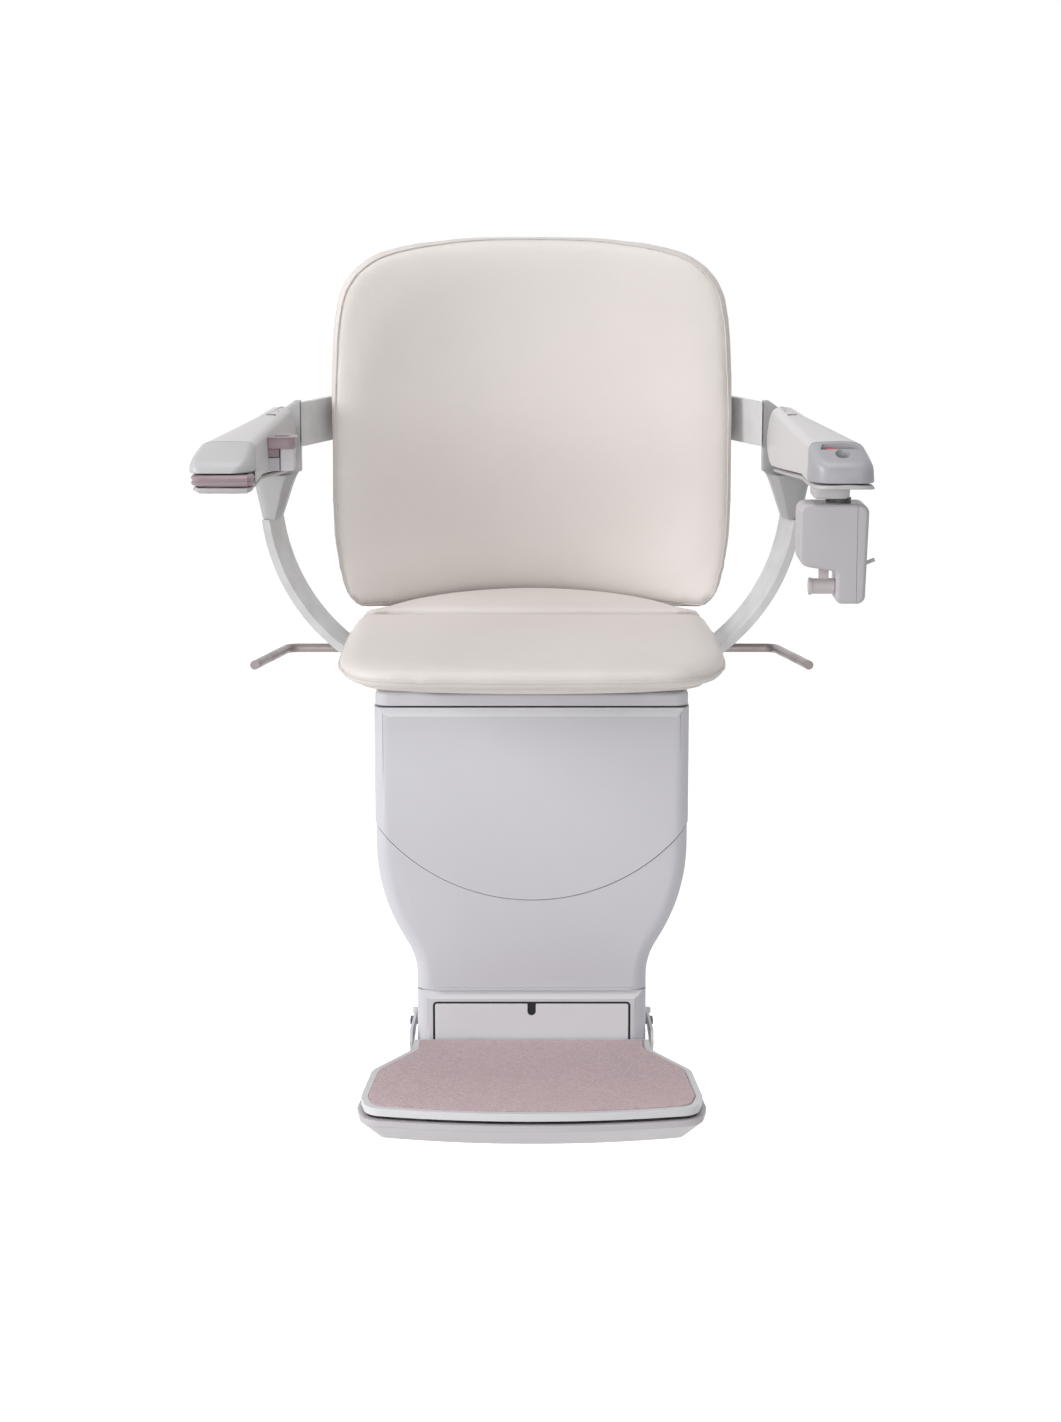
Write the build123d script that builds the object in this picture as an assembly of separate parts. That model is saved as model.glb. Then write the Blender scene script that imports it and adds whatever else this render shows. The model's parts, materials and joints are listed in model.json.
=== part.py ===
from build123d import *

import os
from math import cos, exp, radians, sin

# A stairlift chair: a rail carriage, a drive chassis with a folding footrest, and a swivelling
# chair with a folding seat and folding arms. Lengths are millimetres. X points to the viewer's
# right when facing the chair, -Y points out of the front, and +Z is up. While it is drawn, heights
# are measured from the footrest carpet; the finished pieces are moved down by PIVOT_HEIGHT, so that
# the origin is the levelling pivot in the plane of the rail's front face.

# ---- Rail and carriage ----------------------------------------------------------------------
PIVOT_HEIGHT = 180.0          # levelling pivot above the footrest carpet
RAIL_HEIGHT = 80.0            # rail section that the rollers grip, top to bottom
PLATE_WIDTH, PLATE_TALL, PLATE_THICK = 240.0, 160.0, 10.0
PLATE_GAP = 8.0               # carriage plate to the rail's front face, filled by the wear pads
PAD_WIDTH, PAD_TALL = 36.0, 14.0
PAD_SPREAD = 78.0             # wear pads, either side of the pivot
ROLLER_R, ROLLER_FLANGE, ROLLER_WIDTH = 18.0, 4.0, 26.0
ROLLER_SPREAD = 88.0          # roller axles, either side of the pivot
ROLLER_SETBACK = 9.0          # rail face to the near side of a roller
AXLE_R = 6.0
RUNNING = 0.05                # radial clearance of every running fit
BOLTED = 0.02                 # air in a bolted joint between flat faces
MODULE = 3.0
PINION_TEETH, GOVERNOR_TEETH = 16, 12
GEAR_WIDTH = 20.0
GOVERNOR_X = -66.0            # governor gear beside the drive pinion
SHAFT_R = 10.0
HUB_R = 38.0                  # levelling hub on the carriage plate
LEVEL_RANGE = 50.0            # levelling pivot, degrees either way
CLAMP_RADIUS, CLAMP_R = 64.0, 5.0

# ---- Chassis --------------------------------------------------------------------------------
BODY_WIDTH, FOOT_WIDTH = 334.0, 248.0
BODY_TOP, BODY_BOTTOM = 363.0, -26.0
SHOULDER_LOW, SHOULDER_STEEP = 85.5, 1.686  # where the flanks leave the foot, and their rise over run
SHOULDER_HIGH = SHOULDER_LOW + SHOULDER_STEEP * (BODY_WIDTH - FOOT_WIDTH) / 2
SHOULDER_R, WAIST_R = 200.0, 70.0
FRONT_Y, SPLIT_Y, BACK_Y = -250.0, -132.0, -30.0
COVER_WALL = 3.0
COVER_EDGE = 16.0             # rounding of the front cover's upright edges
BACK_EDGE = 10.0
TOP_BEVEL = 9.0               # sloping band round the top of the upper cover
SEAM_RADIUS = 210.0           # arc seam between the upper and lower covers
SEAM_GAP = 0.8
UPPER_PROUD = 1.0             # upper cover stands this far outside the lower one
REAR_PROUD = 1.2
LIP_HEIGHT = 53.0             # lower edge of the lower cover
SKIRT_FRONT = -252.0          # footrest riser below it
SKIRT_BOTTOM = -26.0
SKIRT_SLOPE = (9.0, 5.0)      # height and depth of the sloping band above the panel
PANEL_WIDTH, PANEL_LOW, PANEL_HIGH = 214.0, -14.0, 40.0
PANEL_GROOVE = 2.4            # black seal round the access panel
PANEL_DEPTH = 4.0
NOTCH_R = 4.5
FRAME_SHEET = 6.0
FRAME_WIDTH = 220.0
FRAME_BACK = -46.0            # front face of the chassis back plate is one sheet further forward
MOTOR_R, MOTOR_LENGTH = 36.0, 120.0
BATTERY = (94.0, 65.0, 98.0)

# ---- Footrest -------------------------------------------------------------------------------
TREAD_NECK, TREAD_WIDTH = 255.0, 348.0
TREAD_REAR, TREAD_FRONT = -256.0, -508.0
TREAD_TOP, TREAD_THICK = -1.0, 9.0
RIM = 7.0                     # bare rim round the carpet
CARPET_THICK = 3.0
FOLD_Y, FOLD_Z = -264.0, -9.0  # footrest hinge
FOOT_PIN_R = 3.0
LUG_X, LUG_THICK = 60.0, 12.0  # frame lugs that carry the footrest pins
TRAY_GAP = 3.5                # air between the tread and its safety tray
TRAY_SETBACK = 17.0           # tray's rear edge in front of the tread's
TRAY_FLANGE, TRAY_DEPTH = 6.0, 31.0
TRAY_GROW = 4.0               # tray flange outside the tread
TRAY_DRAW = 18.0              # tray floor drawn in from the flange
TRAY_WALL = 2.5
EDGE_THICK = 3.0
EDGE_X = FOOT_WIDTH / 2 + 5.5   # inner face of a side blade
EDGE_FRONT, EDGE_REAR = -252.0, -84.0
EDGE_HIGH, EDGE_TAIL, EDGE_LOW = 20.0, -8.0, -22.0
EDGE_PIN_R = 2.5

# ---- Swivel ---------------------------------------------------------------------------------
SWIVEL_Y = -150.0
SWIVEL_GAP = 2.5              # air under the swivel cover
SWIVEL_COVER = 14.0
SPINDLE_R, SPINDLE_LENGTH = 25.0, 60.0
BEARING_R, BEARING_TALL = 80.0, 9.0
FLANGE_R, FLANGE_THICK = 74.0, 6.0
PEDESTAL_R = 45.0
LOCK_RADIUS, LOCK_R = 62.0, 5.0
LOCK_REST = 0.4               # the pin's tip stands this far over its hole in the bearing

# ---- Seat -----------------------------------------------------------------------------------
SEAT_UNDER = 437.0
SEAT_SEAM, SEAT_CROWN = SEAT_UNDER + 10.0, SEAT_UNDER + 23.0
SEAT_HINGE_Y, SEAT_HINGE_Z = -200.0, SEAT_UNDER + 13.0
SEAT_REAR_WIDTH, SEAT_WIDTH = 378.0, 387.0
SEAT_WIDEST_Y, SEAT_CORNER_Y, SEAT_FRONT = -400.0, -482.0, -508.0
SEAT_CORNER_R = 44.0
CROWN_STEPS = 5               # rings over the rounded top of each seat pad
CREASE_ROLL = 22.0            # how far the crown rolls away from the crease
SEAT_TILT = 2.0               # front of the seat falls away by this many degrees
CREASE = 1.2                  # soft crease between the folding seat and the fixed rear pad
REAR_PAD_HALF, REAR_PAD_BACK = 182.0, -97.0
REAR_PAD_TILT = 8.0
PAN_INSET, PAN_THICK = 20.0, 5.0
SEAT_PIN_R, SEAT_LUG_R = 2.5, 5.0
EAR_X, EAR_THICK = 143.0, 5.0
SOFT_GAP = 0.4                # soft solids stand this far off what carries them
FRAME_LEVEL = 385.0           # underside of the seat frame
BEAM_HIGH, BEAM_DEEP, BEAM_HALF = 18.0, 26.0, 166.0
BEAM_Y = -156.0
BEARER_X, BEARER_LOW = 95.0, 405.0
BEARER_FRONT, BEARER_BACK = -348.0, -226.0
LEVER_Y, LEVER_Z, LEVER_R = -190.0, 418.0, 4.75
LEVER_BEND_X, LEVER_TIP = 262.0, (285.5, -335.0, 424.0)
LEVER_BEND_R = 14.0
CRANK = (22.0, 13.5)          # nose of the lever's crank, forward of and below the rod

# ---- Back, uprights and arms ----------------------------------------------------------------
UPRIGHT_CENTRE, UPRIGHT_R, UPRIGHT_THICK = (77.0, 585.0), 207.0, 8.0
UPRIGHT_DEPTH, UPRIGHT_TURN = 50.0, 13.5
UPRIGHT_FRONT = BEAM_Y - BEAM_DEEP / 2 - 0.4 - UPRIGHT_DEPTH * cos(radians(UPRIGHT_TURN))
UPRIGHT_TOP = 560.0           # where the bracket casing sits on the upright
BAR_LOW, BAR_HIGH, BAR_THICK = 634.0, 681.0, 6.0
BAR_SAG, BAR_BACK = 52.0, -36.0
BAR_KNEE, BAR_END = 222.0, (253.0, -177.0)
BOSS_GAP = 0.25               # washer between the band's bosses and the shell
BACK_WIDTH, BACK_TOP, BACK_BOTTOM = 430.0, 854.0, 457.0
BACK_CORNER_HIGH, BACK_CORNER_LOW, BACK_TOE = 737.0, 560.0, 430.0
BACK_THICK, BACK_ROLL, SHELL_THICK = 42.0, 55.0, 4.0
BACK_FRONT, BACK_LEAN = -94.0, 4.0
WING_REACH = 50.0             # how far the wings of the back come forward
WING_EXTRA, WING_FADE = 90.0, 75.0    # and how much further they come low down
BACK_SLICES = 16
ARM_AXIS_Y, ARM_AXIS_Z = -212.0, 644.0
ARM_END_R = 28.0              # rounded rear end of an arm about its hinge
ARM_INNER, ARM_TIP_INNER = 254.0, 270.0
ARM_OUTER, ARM_TIP_OUTER = ARM_INNER + 26.0, ARM_TIP_INNER + 61.0
ARM_TIP_LOW, ARM_TIP_HIGH = 615.0, 661.0
ARM_CAP_Y, ARM_TIP_Y = -420.0, -461.0
CAP_CORNER, CAP_CROWN = 15.0, 11.0  # rounding of a cap in plan and over its top edge
ARM_WALL = 2.6
ARM_ROUND = 8.0
ARM_SPLIT = 624.0             # upper and lower arm shells part here
ARM_PIN_R = 5.0
ARM_GAP = 1.0
CASING_SLOPE = (44.0, 34.0)   # width and fall of the bracket casing's sloping outer shoulder
PADDLE_LOW, PADDLE_HIGH = 621.5, 633.0
PADDLE_X, PADDLE_Y = 299.0, -388.0
PADDLE_PIN_R = 4.0
SOCKET_X, SOCKET_Y = 247.5, -338.0
SOCKET_WIDE, SOCKET_DEEP, SOCKET_LOW, SOCKET_HIGH = 26.0, 26.0, 625.0, 660.0
SLOT_WIDE, SLOT_DEEP, SLOT_LONG = 15.0, 5.2, 22.0
REEL_LEFT, REEL_RIGHT = 263.0, 332.0
REEL_LOW, REEL_STEP, REEL_HIGH = 504.0, 536.0, 603.0
REEL_Y, REEL_DEPTH = -424.0, 44.0
REEL_FOOT_X = 300.0           # the housing's narrower foot starts here
REEL_SEAM_X = 320.0           # the reel's side cover starts here
REEL_ROUND = 4.0              # rounding of the reel's front edges
REEL_WALL = 2.5
NECK_R = 12.0
SPOOL_R, SPOOL_PIN_R = 24.0, 3.0


def box(x, y, z):
    """Block between the low and high ends given for each axis."""
    size = [high - low for low, high in (x, y, z)]
    centre = [(low + high) / 2 for low, high in (x, y, z)]
    return Pos(*centre) * Box(*size)


def about(middle, width):
    """Low and high ends of a width centred on a place."""
    return (middle - width / 2, middle + width / 2)


def rod(start, direction, length, radius):
    """Round bar from a start point along a direction."""
    base = Cylinder(radius, length, align=(Align.CENTER, Align.CENTER, Align.MIN))
    return Plane(origin=start, z_dir=direction) * base


def upright_plane(y):
    """Drawing plane at depth y, seen from the front: its X is +X and its Y is up."""
    return Plane(origin=(0, y, 0), x_dir=(1, 0, 0), z_dir=(0, -1, 0))


def slab(sketch, y_front, y_back):
    """Front-view sketch given depth, from the back forwards."""
    return extrude(upright_plane(y_back) * sketch, amount=y_back - y_front)


def level(sketch, z):
    """Plan sketch lifted to a height."""
    return Pos(0, 0, z) * sketch


def pair(solid):
    """A solid and its mirror image across the middle of the chair."""
    return Compound(children=[solid, mirror(solid, about=Plane.YZ)])


def group(*solids):
    """Separate solids kept together in one node."""
    return Compound(children=list(solids))


# ---- Carriage -------------------------------------------------------------------------------
PLATE_BACK = -PLATE_GAP
PLATE_FRONT = PLATE_BACK - PLATE_THICK
ROLLER_Z = RAIL_HEIGHT / 2 + ROLLER_R
AXLE_END = ROLLER_SETBACK + ROLLER_WIDTH + 7.0
HUB_FRONT = FRAME_BACK - FRAME_SHEET - 8.0
CORNERS = [(side, rise) for rise in (1, -1) for side in (-1, 1)]


def at_pivot(solid):
    """Move a solid drawn about the pivot up to its height above the carpet."""
    return Pos(0, 0, PIVOT_HEIGHT) * solid


def carriage_plate():
    plate = slab(RectangleRounded(PLATE_WIDTH, PLATE_TALL, 24), PLATE_FRONT, PLATE_BACK)
    plate += rod((0, PLATE_BACK, 0), (0, -1, 0), PLATE_BACK - HUB_FRONT, HUB_R)
    plate -= rod((0, 0, 0), (0, -1, 0), 100, SHAFT_R + RUNNING)
    for side, rise in CORNERS:
        plate -= rod((side * ROLLER_SPREAD, 0, rise * ROLLER_Z), (0, -1, 0), 40, AXLE_R)
    for rise in (-1, 1):
        plate -= rod((0, 0, rise * CLAMP_RADIUS), (0, -1, 0), 40, CLAMP_R)
    plate -= rod((GOVERNOR_X, 0, governor_z()), (0, -1, 0), 6 + PLATE_GAP, AXLE_R + RUNNING)
    return at_pivot(plate)


def wear_pads():
    pads = []
    for side, rise in CORNERS:
        z = rise * (RAIL_HEIGHT / 2 - PAD_TALL / 2)
        x = (side * PAD_SPREAD - PAD_WIDTH / 2, side * PAD_SPREAD + PAD_WIDTH / 2)
        pads.append(box(x, (PLATE_BACK, 0), (z - PAD_TALL / 2, z + PAD_TALL / 2)))
    return at_pivot(group(*pads))


def axle(x, z):
    """Shouldered roller axle with a nut in front of the plate and a head past the roller."""
    pin = rod((x, AXLE_END, z), (0, -1, 0), AXLE_END - PLATE_FRONT + 1, AXLE_R)
    pin += rod((x, ROLLER_SETBACK - 0.5, z), (0, -1, 0), ROLLER_SETBACK - 0.5 - PLATE_BACK, AXLE_R + 3)
    pin += rod((x, AXLE_END, z), (0, -1, 0), 5, AXLE_R + 3)
    nut = Plane(origin=(x, PLATE_FRONT, z), z_dir=(0, -1, 0)) * extrude(RegularPolygon(10, 6), amount=6)
    return pin + nut


def roller(x, z):
    """Grooved roller whose two flanges keep it on the rail's edge."""
    middle = ROLLER_SETBACK + ROLLER_WIDTH / 2
    wheel = rod((x, ROLLER_SETBACK, z), (0, 1, 0), ROLLER_WIDTH, ROLLER_R + ROLLER_FLANGE)
    groove = rod((x, middle - 9, z), (0, 1, 0), 18, ROLLER_R + ROLLER_FLANGE + 1)
    groove -= rod((x, middle - 9, z), (0, 1, 0), 18, ROLLER_R)
    wheel -= groove
    return wheel - rod((x, 0, z), (0, 1, 0), 60, AXLE_R + RUNNING)


def gear(teeth, width):
    """Spur gear with straight-flanked teeth, drawn flat about its own axis."""
    pitch = MODULE * teeth / 2
    step = 360 / teeth
    points = []
    for tooth in range(teeth):
        for share, radius in ((-0.34, -1.2), (-0.14, 0.95), (0.14, 0.95), (0.34, -1.2)):
            angle = radians((tooth + share) * step)
            reach = pitch + radius * MODULE
            points.append((reach * cos(angle), reach * sin(angle)))
    return extrude(make_face(Polyline(*points, close=True)), amount=width)


def governor_z():
    """Governor axis height: both gears run on the same rack."""
    return -MODULE * (PINION_TEETH - GOVERNOR_TEETH) / 2


def spindle_gear(x, z, teeth, back_reach, radius):
    """Gear behind the carriage plate on a shaft that runs forward through it."""
    near = 5.0
    facing_back = Plane(origin=(x, near, z), x_dir=(1, 0, 0), z_dir=(0, 1, 0))
    wheel = facing_back * gear(teeth, GEAR_WIDTH)
    return wheel + rod((x, near + GEAR_WIDTH + 4, z), (0, -1, 0), near + GEAR_WIDTH + 4 + back_reach, radius)


def clamp_bolts():
    """Bolts that lock the levelling pivot through the chassis back plate's arc slots."""
    bolts = []
    for rise in (-1, 1):
        z = rise * CLAMP_RADIUS
        bolt = rod((0, PLATE_BACK, z), (0, -1, 0), PLATE_BACK - FRAME_BACK + FRAME_SHEET + 7, CLAMP_R)
        bolt += rod((0, FRAME_BACK - FRAME_SHEET - 0.3, z), (0, -1, 0), 8, 11)
        bolt += rod((0, PLATE_FRONT, z), (0, -1, 0), PLATE_FRONT - FRAME_BACK - 0.3, 9)
        bolts.append(bolt)
    return at_pivot(group(*bolts))


# ---- Chassis --------------------------------------------------------------------------------
def body_outline(inset=0.0, top=BODY_TOP, bottom=BODY_BOTTOM):
    """Front outline of the covers: straight flanks drawn in at the shoulder to the foot."""
    wide, narrow = BODY_WIDTH / 2 - inset, FOOT_WIDTH / 2 - inset
    run = wide - narrow
    flank = FilletPolyline((wide, top), (wide, SHOULDER_HIGH), (narrow, SHOULDER_LOW), (narrow, bottom),
                           radius=[min(SHOULDER_R, 4.7 * run), min(WAIST_R, 1.65 * run)])
    other = mirror(flank, about=Plane.YZ)
    return make_face([*flank.edges(), *other.edges(), Line((-wide, top), (wide, top)),
                      Line((-narrow, bottom), (narrow, bottom))])


def front_whole(proud):
    """Hollow front cover, full height, open at the back."""
    outer = slab(body_outline(-proud), FRONT_Y - proud, SPLIT_Y)
    face = outer.faces().sort_by(Axis.Y)[0]
    rim = face.edges()
    outer = fillet(rim.sort_by(Axis.Z)[1:-1], COVER_EDGE)
    inner = slab(body_outline(COVER_WALL - proud, top=BODY_TOP - COVER_WALL), FRONT_Y - proud + COVER_WALL,
                 SPLIT_Y)
    rim = inner.faces().sort_by(Axis.Y)[0].edges()
    inner = fillet(rim.sort_by(Axis.Z)[1:-1], COVER_EDGE - COVER_WALL)
    shell = outer - inner
    return shell - rod((0, SWIVEL_Y, BODY_TOP - 10), (0, 0, 1), 20, BEARING_R + 4)


def seam_cylinder(radius):
    """Cylinder through the covers whose lower rim is the arc seam."""
    return rod((0, SPLIT_Y + 5, BODY_TOP), (0, -1, 0), 200, radius)


def front_cover_upper():
    cover = front_whole(UPPER_PROUD) & seam_cylinder(SEAM_RADIUS - SEAM_GAP / 2)
    wedge = Polyline((FRONT_Y - 10, BODY_TOP + 1), (FRONT_Y - 10, BODY_TOP - TOP_BEVEL),
                     (FRONT_Y - UPPER_PROUD, BODY_TOP - TOP_BEVEL), (FRONT_Y + 2.5, BODY_TOP + 1), close=True)
    cut = extrude(Plane.YZ * make_face(wedge), amount=BODY_WIDTH, both=True)
    return cover - cut


def front_cover_lower():
    cover = front_whole(0) - seam_cylinder(SEAM_RADIUS + SEAM_GAP / 2)
    below = box((-200, 200), (FRONT_Y - 30, SPLIT_Y + 5), (BODY_BOTTOM - 5, LIP_HEIGHT))
    cover -= below
    lip = slab(Pos(0, LIP_HEIGHT + 1.5) * RectangleRounded(FOOT_WIDTH - 2 * COVER_EDGE, 3, 1.4),
               FRONT_Y - 3, FRONT_Y + 1)
    return cover + lip


def rear_cover():
    outer = slab(body_outline(-REAR_PROUD), SPLIT_Y + 0.8, BACK_Y)
    outer = fillet(outer.faces().sort_by(Axis.Y)[-1].edges().sort_by(Axis.Z)[1:-1], BACK_EDGE)
    inner = slab(body_outline(COVER_WALL - REAR_PROUD, BODY_TOP - COVER_WALL, BODY_BOTTOM - 1),
                 SPLIT_Y, BACK_Y - COVER_WALL)
    shell = outer - inner
    shell -= rod((0, 0, PIVOT_HEIGHT), (0, -1, 0), 60, CLAMP_RADIUS + 16)
    return shell - rod((0, SWIVEL_Y, BODY_TOP - 10), (0, 0, 1), 20, BEARING_R + 4)


def footrest_riser():
    """Skirt below the lower cover: the front leans forward and carries the access panel."""
    half = FOOT_WIDTH / 2
    top = LIP_HEIGHT - SEAM_GAP
    front_view = Pos(0, (top + SKIRT_BOTTOM) / 2) * Rectangle(2 * half, top - SKIRT_BOTTOM)
    outer = slab(front_view, SKIRT_FRONT, SPLIT_Y)
    outer = fillet(outer.edges().filter_by(Axis.Z).group_by(Axis.Y)[0], COVER_EDGE)
    drop, depth = SKIRT_SLOPE
    wedge = Polyline((SKIRT_FRONT - 1, top + 1), (SKIRT_FRONT - 1, top - drop), (SKIRT_FRONT, top - drop),
                     (SKIRT_FRONT + depth, top), (SKIRT_FRONT + depth, top + 1), close=True)
    outer -= extrude(Plane.YZ * make_face(wedge), amount=2 * half, both=True)
    inner = box((-half + COVER_WALL, half - COVER_WALL), (SKIRT_FRONT + COVER_WALL + SKIRT_SLOPE[1], SPLIT_Y),
                (SKIRT_BOTTOM - 1, top + 1))
    return outer - inner - slab(panel_outline(0), SKIRT_FRONT - 1, SKIRT_FRONT + PANEL_DEPTH)


def panel_outline(inset):
    """Front outline of the access panel's recess, or of what lies inset within it."""
    wide = PANEL_WIDTH - 2 * inset
    tall = PANEL_HIGH - PANEL_LOW - 2 * inset
    return Pos(0, (PANEL_HIGH + PANEL_LOW) / 2) * RectangleRounded(wide, tall, 4.5 - inset)


def notch():
    """Key notch in the top of the access panel."""
    z = PANEL_HIGH - 11
    return Pos(0, z) * Circle(NOTCH_R) + Pos(0, z + 8) * Rectangle(2 * NOTCH_R, 16)


def access_panel():
    sketch = panel_outline(PANEL_GROOVE) - notch()
    return slab(sketch, SKIRT_FRONT, SKIRT_FRONT + PANEL_DEPTH - 0.1)


def panel_seal():
    ring = panel_outline(0) - panel_outline(PANEL_GROOVE)
    plug = notch() & panel_outline(PANEL_GROOVE)
    return slab(ring + plug, SKIRT_FRONT + 1.2, SKIRT_FRONT + PANEL_DEPTH - 0.1)


def arc_slot(rise):
    """Arc slot that a clamp bolt travels along as the carriage levels."""
    reach = LEVEL_RANGE + 1.5
    clear = CLAMP_R + 0.6
    middle = 90 * rise
    ring = Circle(CLAMP_RADIUS + clear) - Circle(CLAMP_RADIUS - clear)
    first, last = radians(middle - reach), radians(middle + reach)
    far = 3 * CLAMP_RADIUS
    span = make_face(Polyline((0, 0), (far * cos(first), far * sin(first)),
                              (far * cos(radians(middle)), far * sin(radians(middle))),
                              (far * cos(last), far * sin(last)), close=True))
    slot = ring & span
    for angle in (first, last):
        slot += Pos(CLAMP_RADIUS * cos(angle), CLAMP_RADIUS * sin(angle)) * Circle(clear)
    return slot


def chassis_frame():
    """Welded frame: back plate, swivel deck with its sleeve, footrest shelf and hinge lugs."""
    front = FRAME_BACK - FRAME_SHEET
    half = FRAME_WIDTH / 2
    deck = BODY_TOP - 13 - FRAME_SHEET
    back = Pos(0, PIVOT_HEIGHT) * (Circle(HUB_R + 4) + arc_slot(1) + arc_slot(-1))
    plate = slab(Pos(0, (deck - 32) / 2) * Rectangle(2 * half, deck + 32) - back, front, FRAME_BACK)
    plate += box((-half, half), (SWIVEL_Y - 85, FRAME_BACK), (deck, deck + FRAME_SHEET))
    for side in (-1, 1):
        gusset = Polyline((front, deck), (SWIVEL_Y - 80, deck), (SWIVEL_Y - 80, deck - 20),
                          (front, deck - 110), close=True)
        web = extrude(Plane.YZ * make_face(gusset), amount=FRAME_SHEET / 2, both=True)
        plate += Pos(side * (half - FRAME_SHEET / 2), 0, 0) * web
    plate += rod((0, SWIVEL_Y, deck - 44), (0, 0, 1), 46, SPINDLE_R + 8)
    plate -= rod((0, SWIVEL_Y, deck - 50), (0, 0, 1), 80, SPINDLE_R + RUNNING)
    plate -= rod((0, SWIVEL_Y - LOCK_RADIUS, deck - 5), (0, 0, 1), 40, LOCK_R + 2)
    shelf = BODY_BOTTOM - FRAME_SHEET
    plate += box((-half, half), (FOLD_Y + 20, FRAME_BACK), (shelf - 2, shelf + FRAME_SHEET - 2))
    ear_x = EDGE_X + EDGE_THICK + 6
    plate += box((-ear_x, ear_x), (EDGE_REAR - 7, EDGE_REAR + 7), (shelf - 2, shelf + FRAME_SHEET - 2))
    for side in (-1, 1):
        x = (side * LUG_X - LUG_THICK / 2, side * LUG_X + LUG_THICK / 2)
        plate += box(x, (FOLD_Y - 4.5, FOLD_Y + 26), (shelf - 2, shelf + FRAME_SHEET - 2))
        plate += box(x, (FOLD_Y - 4.5, FOLD_Y + 0.5), (shelf - 2, FOLD_Z))
        plate += rod((x[0], FOLD_Y, FOLD_Z), (1, 0, 0), LUG_THICK, FOOT_PIN_R + 1.4)
    return plate - rod((-half, FOLD_Y, FOLD_Z), (1, 0, 0), 2 * half, FOOT_PIN_R)


def pivot_bush():
    """Bush between the carriage hub and the chassis back plate."""
    ring = rod((0, FRAME_BACK + 3, 0), (0, -1, 0), FRAME_SHEET + 3, HUB_R + 4)
    ring += rod((0, FRAME_BACK + 3, 0), (0, -1, 0), 3, HUB_R + 8)
    return at_pivot(ring - rod((0, 0, 0), (0, -1, 0), 100, HUB_R + RUNNING))


def gearbox():
    """Worm gearbox on the chassis, in front of the hub, with a cup over the shaft's end."""
    back = HUB_FRONT - 3
    body = box((-46, 46), (back - 46, back), (-40, 44))
    body = fillet(body.edges().filter_by(Axis.Y), 12)
    body -= rod((0, back + 1, 0), (0, -1, 0), 36, SHAFT_R + 14)
    for x, z in ((-38, 20), (38, 20), (-38, -20), (38, -20)):
        body += rod((x, FRAME_BACK - FRAME_SHEET, z), (0, -1, 0), FRAME_BACK - FRAME_SHEET - back + 4, 4.5)
    return at_pivot(body)


def drive_motor():
    """Drive motor beside the gearbox, its end bell towards the flank of the chassis."""
    y = HUB_FRONT - 3 - 46 - MOTOR_R
    can = rod((-MOTOR_LENGTH / 2, y, 0), (1, 0, 0), MOTOR_LENGTH, MOTOR_R)
    can = chamfer(can.edges(), 4)
    can += rod((MOTOR_LENGTH / 2, y, 0), (1, 0, 0), 12, 14)
    return at_pivot(can + box((-20, 20), (y + MOTOR_R - 12, y + MOTOR_R), (-22, 22)))


def batteries():
    wide, deep, tall = BATTERY
    floor_z = BODY_BOTTOM - 2
    cells = []
    for side in (-1, 1):
        x = side * (wide / 2 + 4)
        case = box((x - wide / 2, x + wide / 2), (-200, -200 + deep), (floor_z, floor_z + tall))
        posts = [rod((x + dx, -190, floor_z + tall), (0, 0, 1), 5, 4) for dx in (-30, 30)]
        cells.append(case + posts[0] + posts[1])
    return group(*cells)


def control_board():
    """Control board on standoffs from the chassis back plate, above the gearbox."""
    front = FRAME_BACK - FRAME_SHEET
    z = (PIVOT_HEIGHT + 84, PIVOT_HEIGHT + 126)
    board = box((-90, 20), (front - 14, front - 12), z)
    for x in (-84, 14):
        for height in (z[0] + 5, z[1] - 5):
            board += rod((x, front, height), (0, -1, 0), 12, 3)
    for index in range(5):
        x = -78 + 20 * index
        board += box((x, x + 12), (front - 26, front - 14), (z[0] + 8, z[0] + 26))
    return board


def charge_contacts():
    """Pair of sprung charging feet under the chassis shelf, that meet the rail's charge strip."""
    shelf = BODY_BOTTOM - FRAME_SHEET - 2 - BOLTED
    feet = []
    for side in (-1, 1):
        x = side * 90
        foot = box((x - 12, x + 12), (FRAME_BACK - 4, FRAME_BACK + 22), (shelf - 6, shelf))
        feet.append(foot + rod((x, FRAME_BACK + 22, shelf - 3), (0, 1, 0), 8, 2.5))
    return group(*feet)


def swivel_bearing():
    deck = BODY_TOP - 13
    ring = rod((0, SWIVEL_Y, deck), (0, 0, 1), BEARING_TALL, BEARING_R)
    ring -= rod((0, SWIVEL_Y, deck - 1), (0, 0, 1), 30, SPINDLE_R + RUNNING)
    for angle in (0, 80, -80):
        x = LOCK_RADIUS * sin(radians(angle))
        y = SWIVEL_Y - LOCK_RADIUS * cos(radians(angle))
        ring -= rod((x, y, deck - 1), (0, 0, 1), 30, LOCK_R + 0.5)
    return ring


def lower_hinge_pins():
    """Footrest hinge pins in the frame's lugs, and the upright pins of the side edges."""
    pins = []
    for side in (-1, 1):
        pins.append(rod((side * LUG_X - 28, FOLD_Y, FOLD_Z), (1, 0, 0), 56, FOOT_PIN_R))
        foot = BODY_BOTTOM - 2
        pins.append(rod((side * (EDGE_X + EDGE_THICK / 2), EDGE_REAR, foot), (0, 0, 1), EDGE_TAIL - foot + 2,
                        EDGE_PIN_R))
    return group(*pins)


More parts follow.
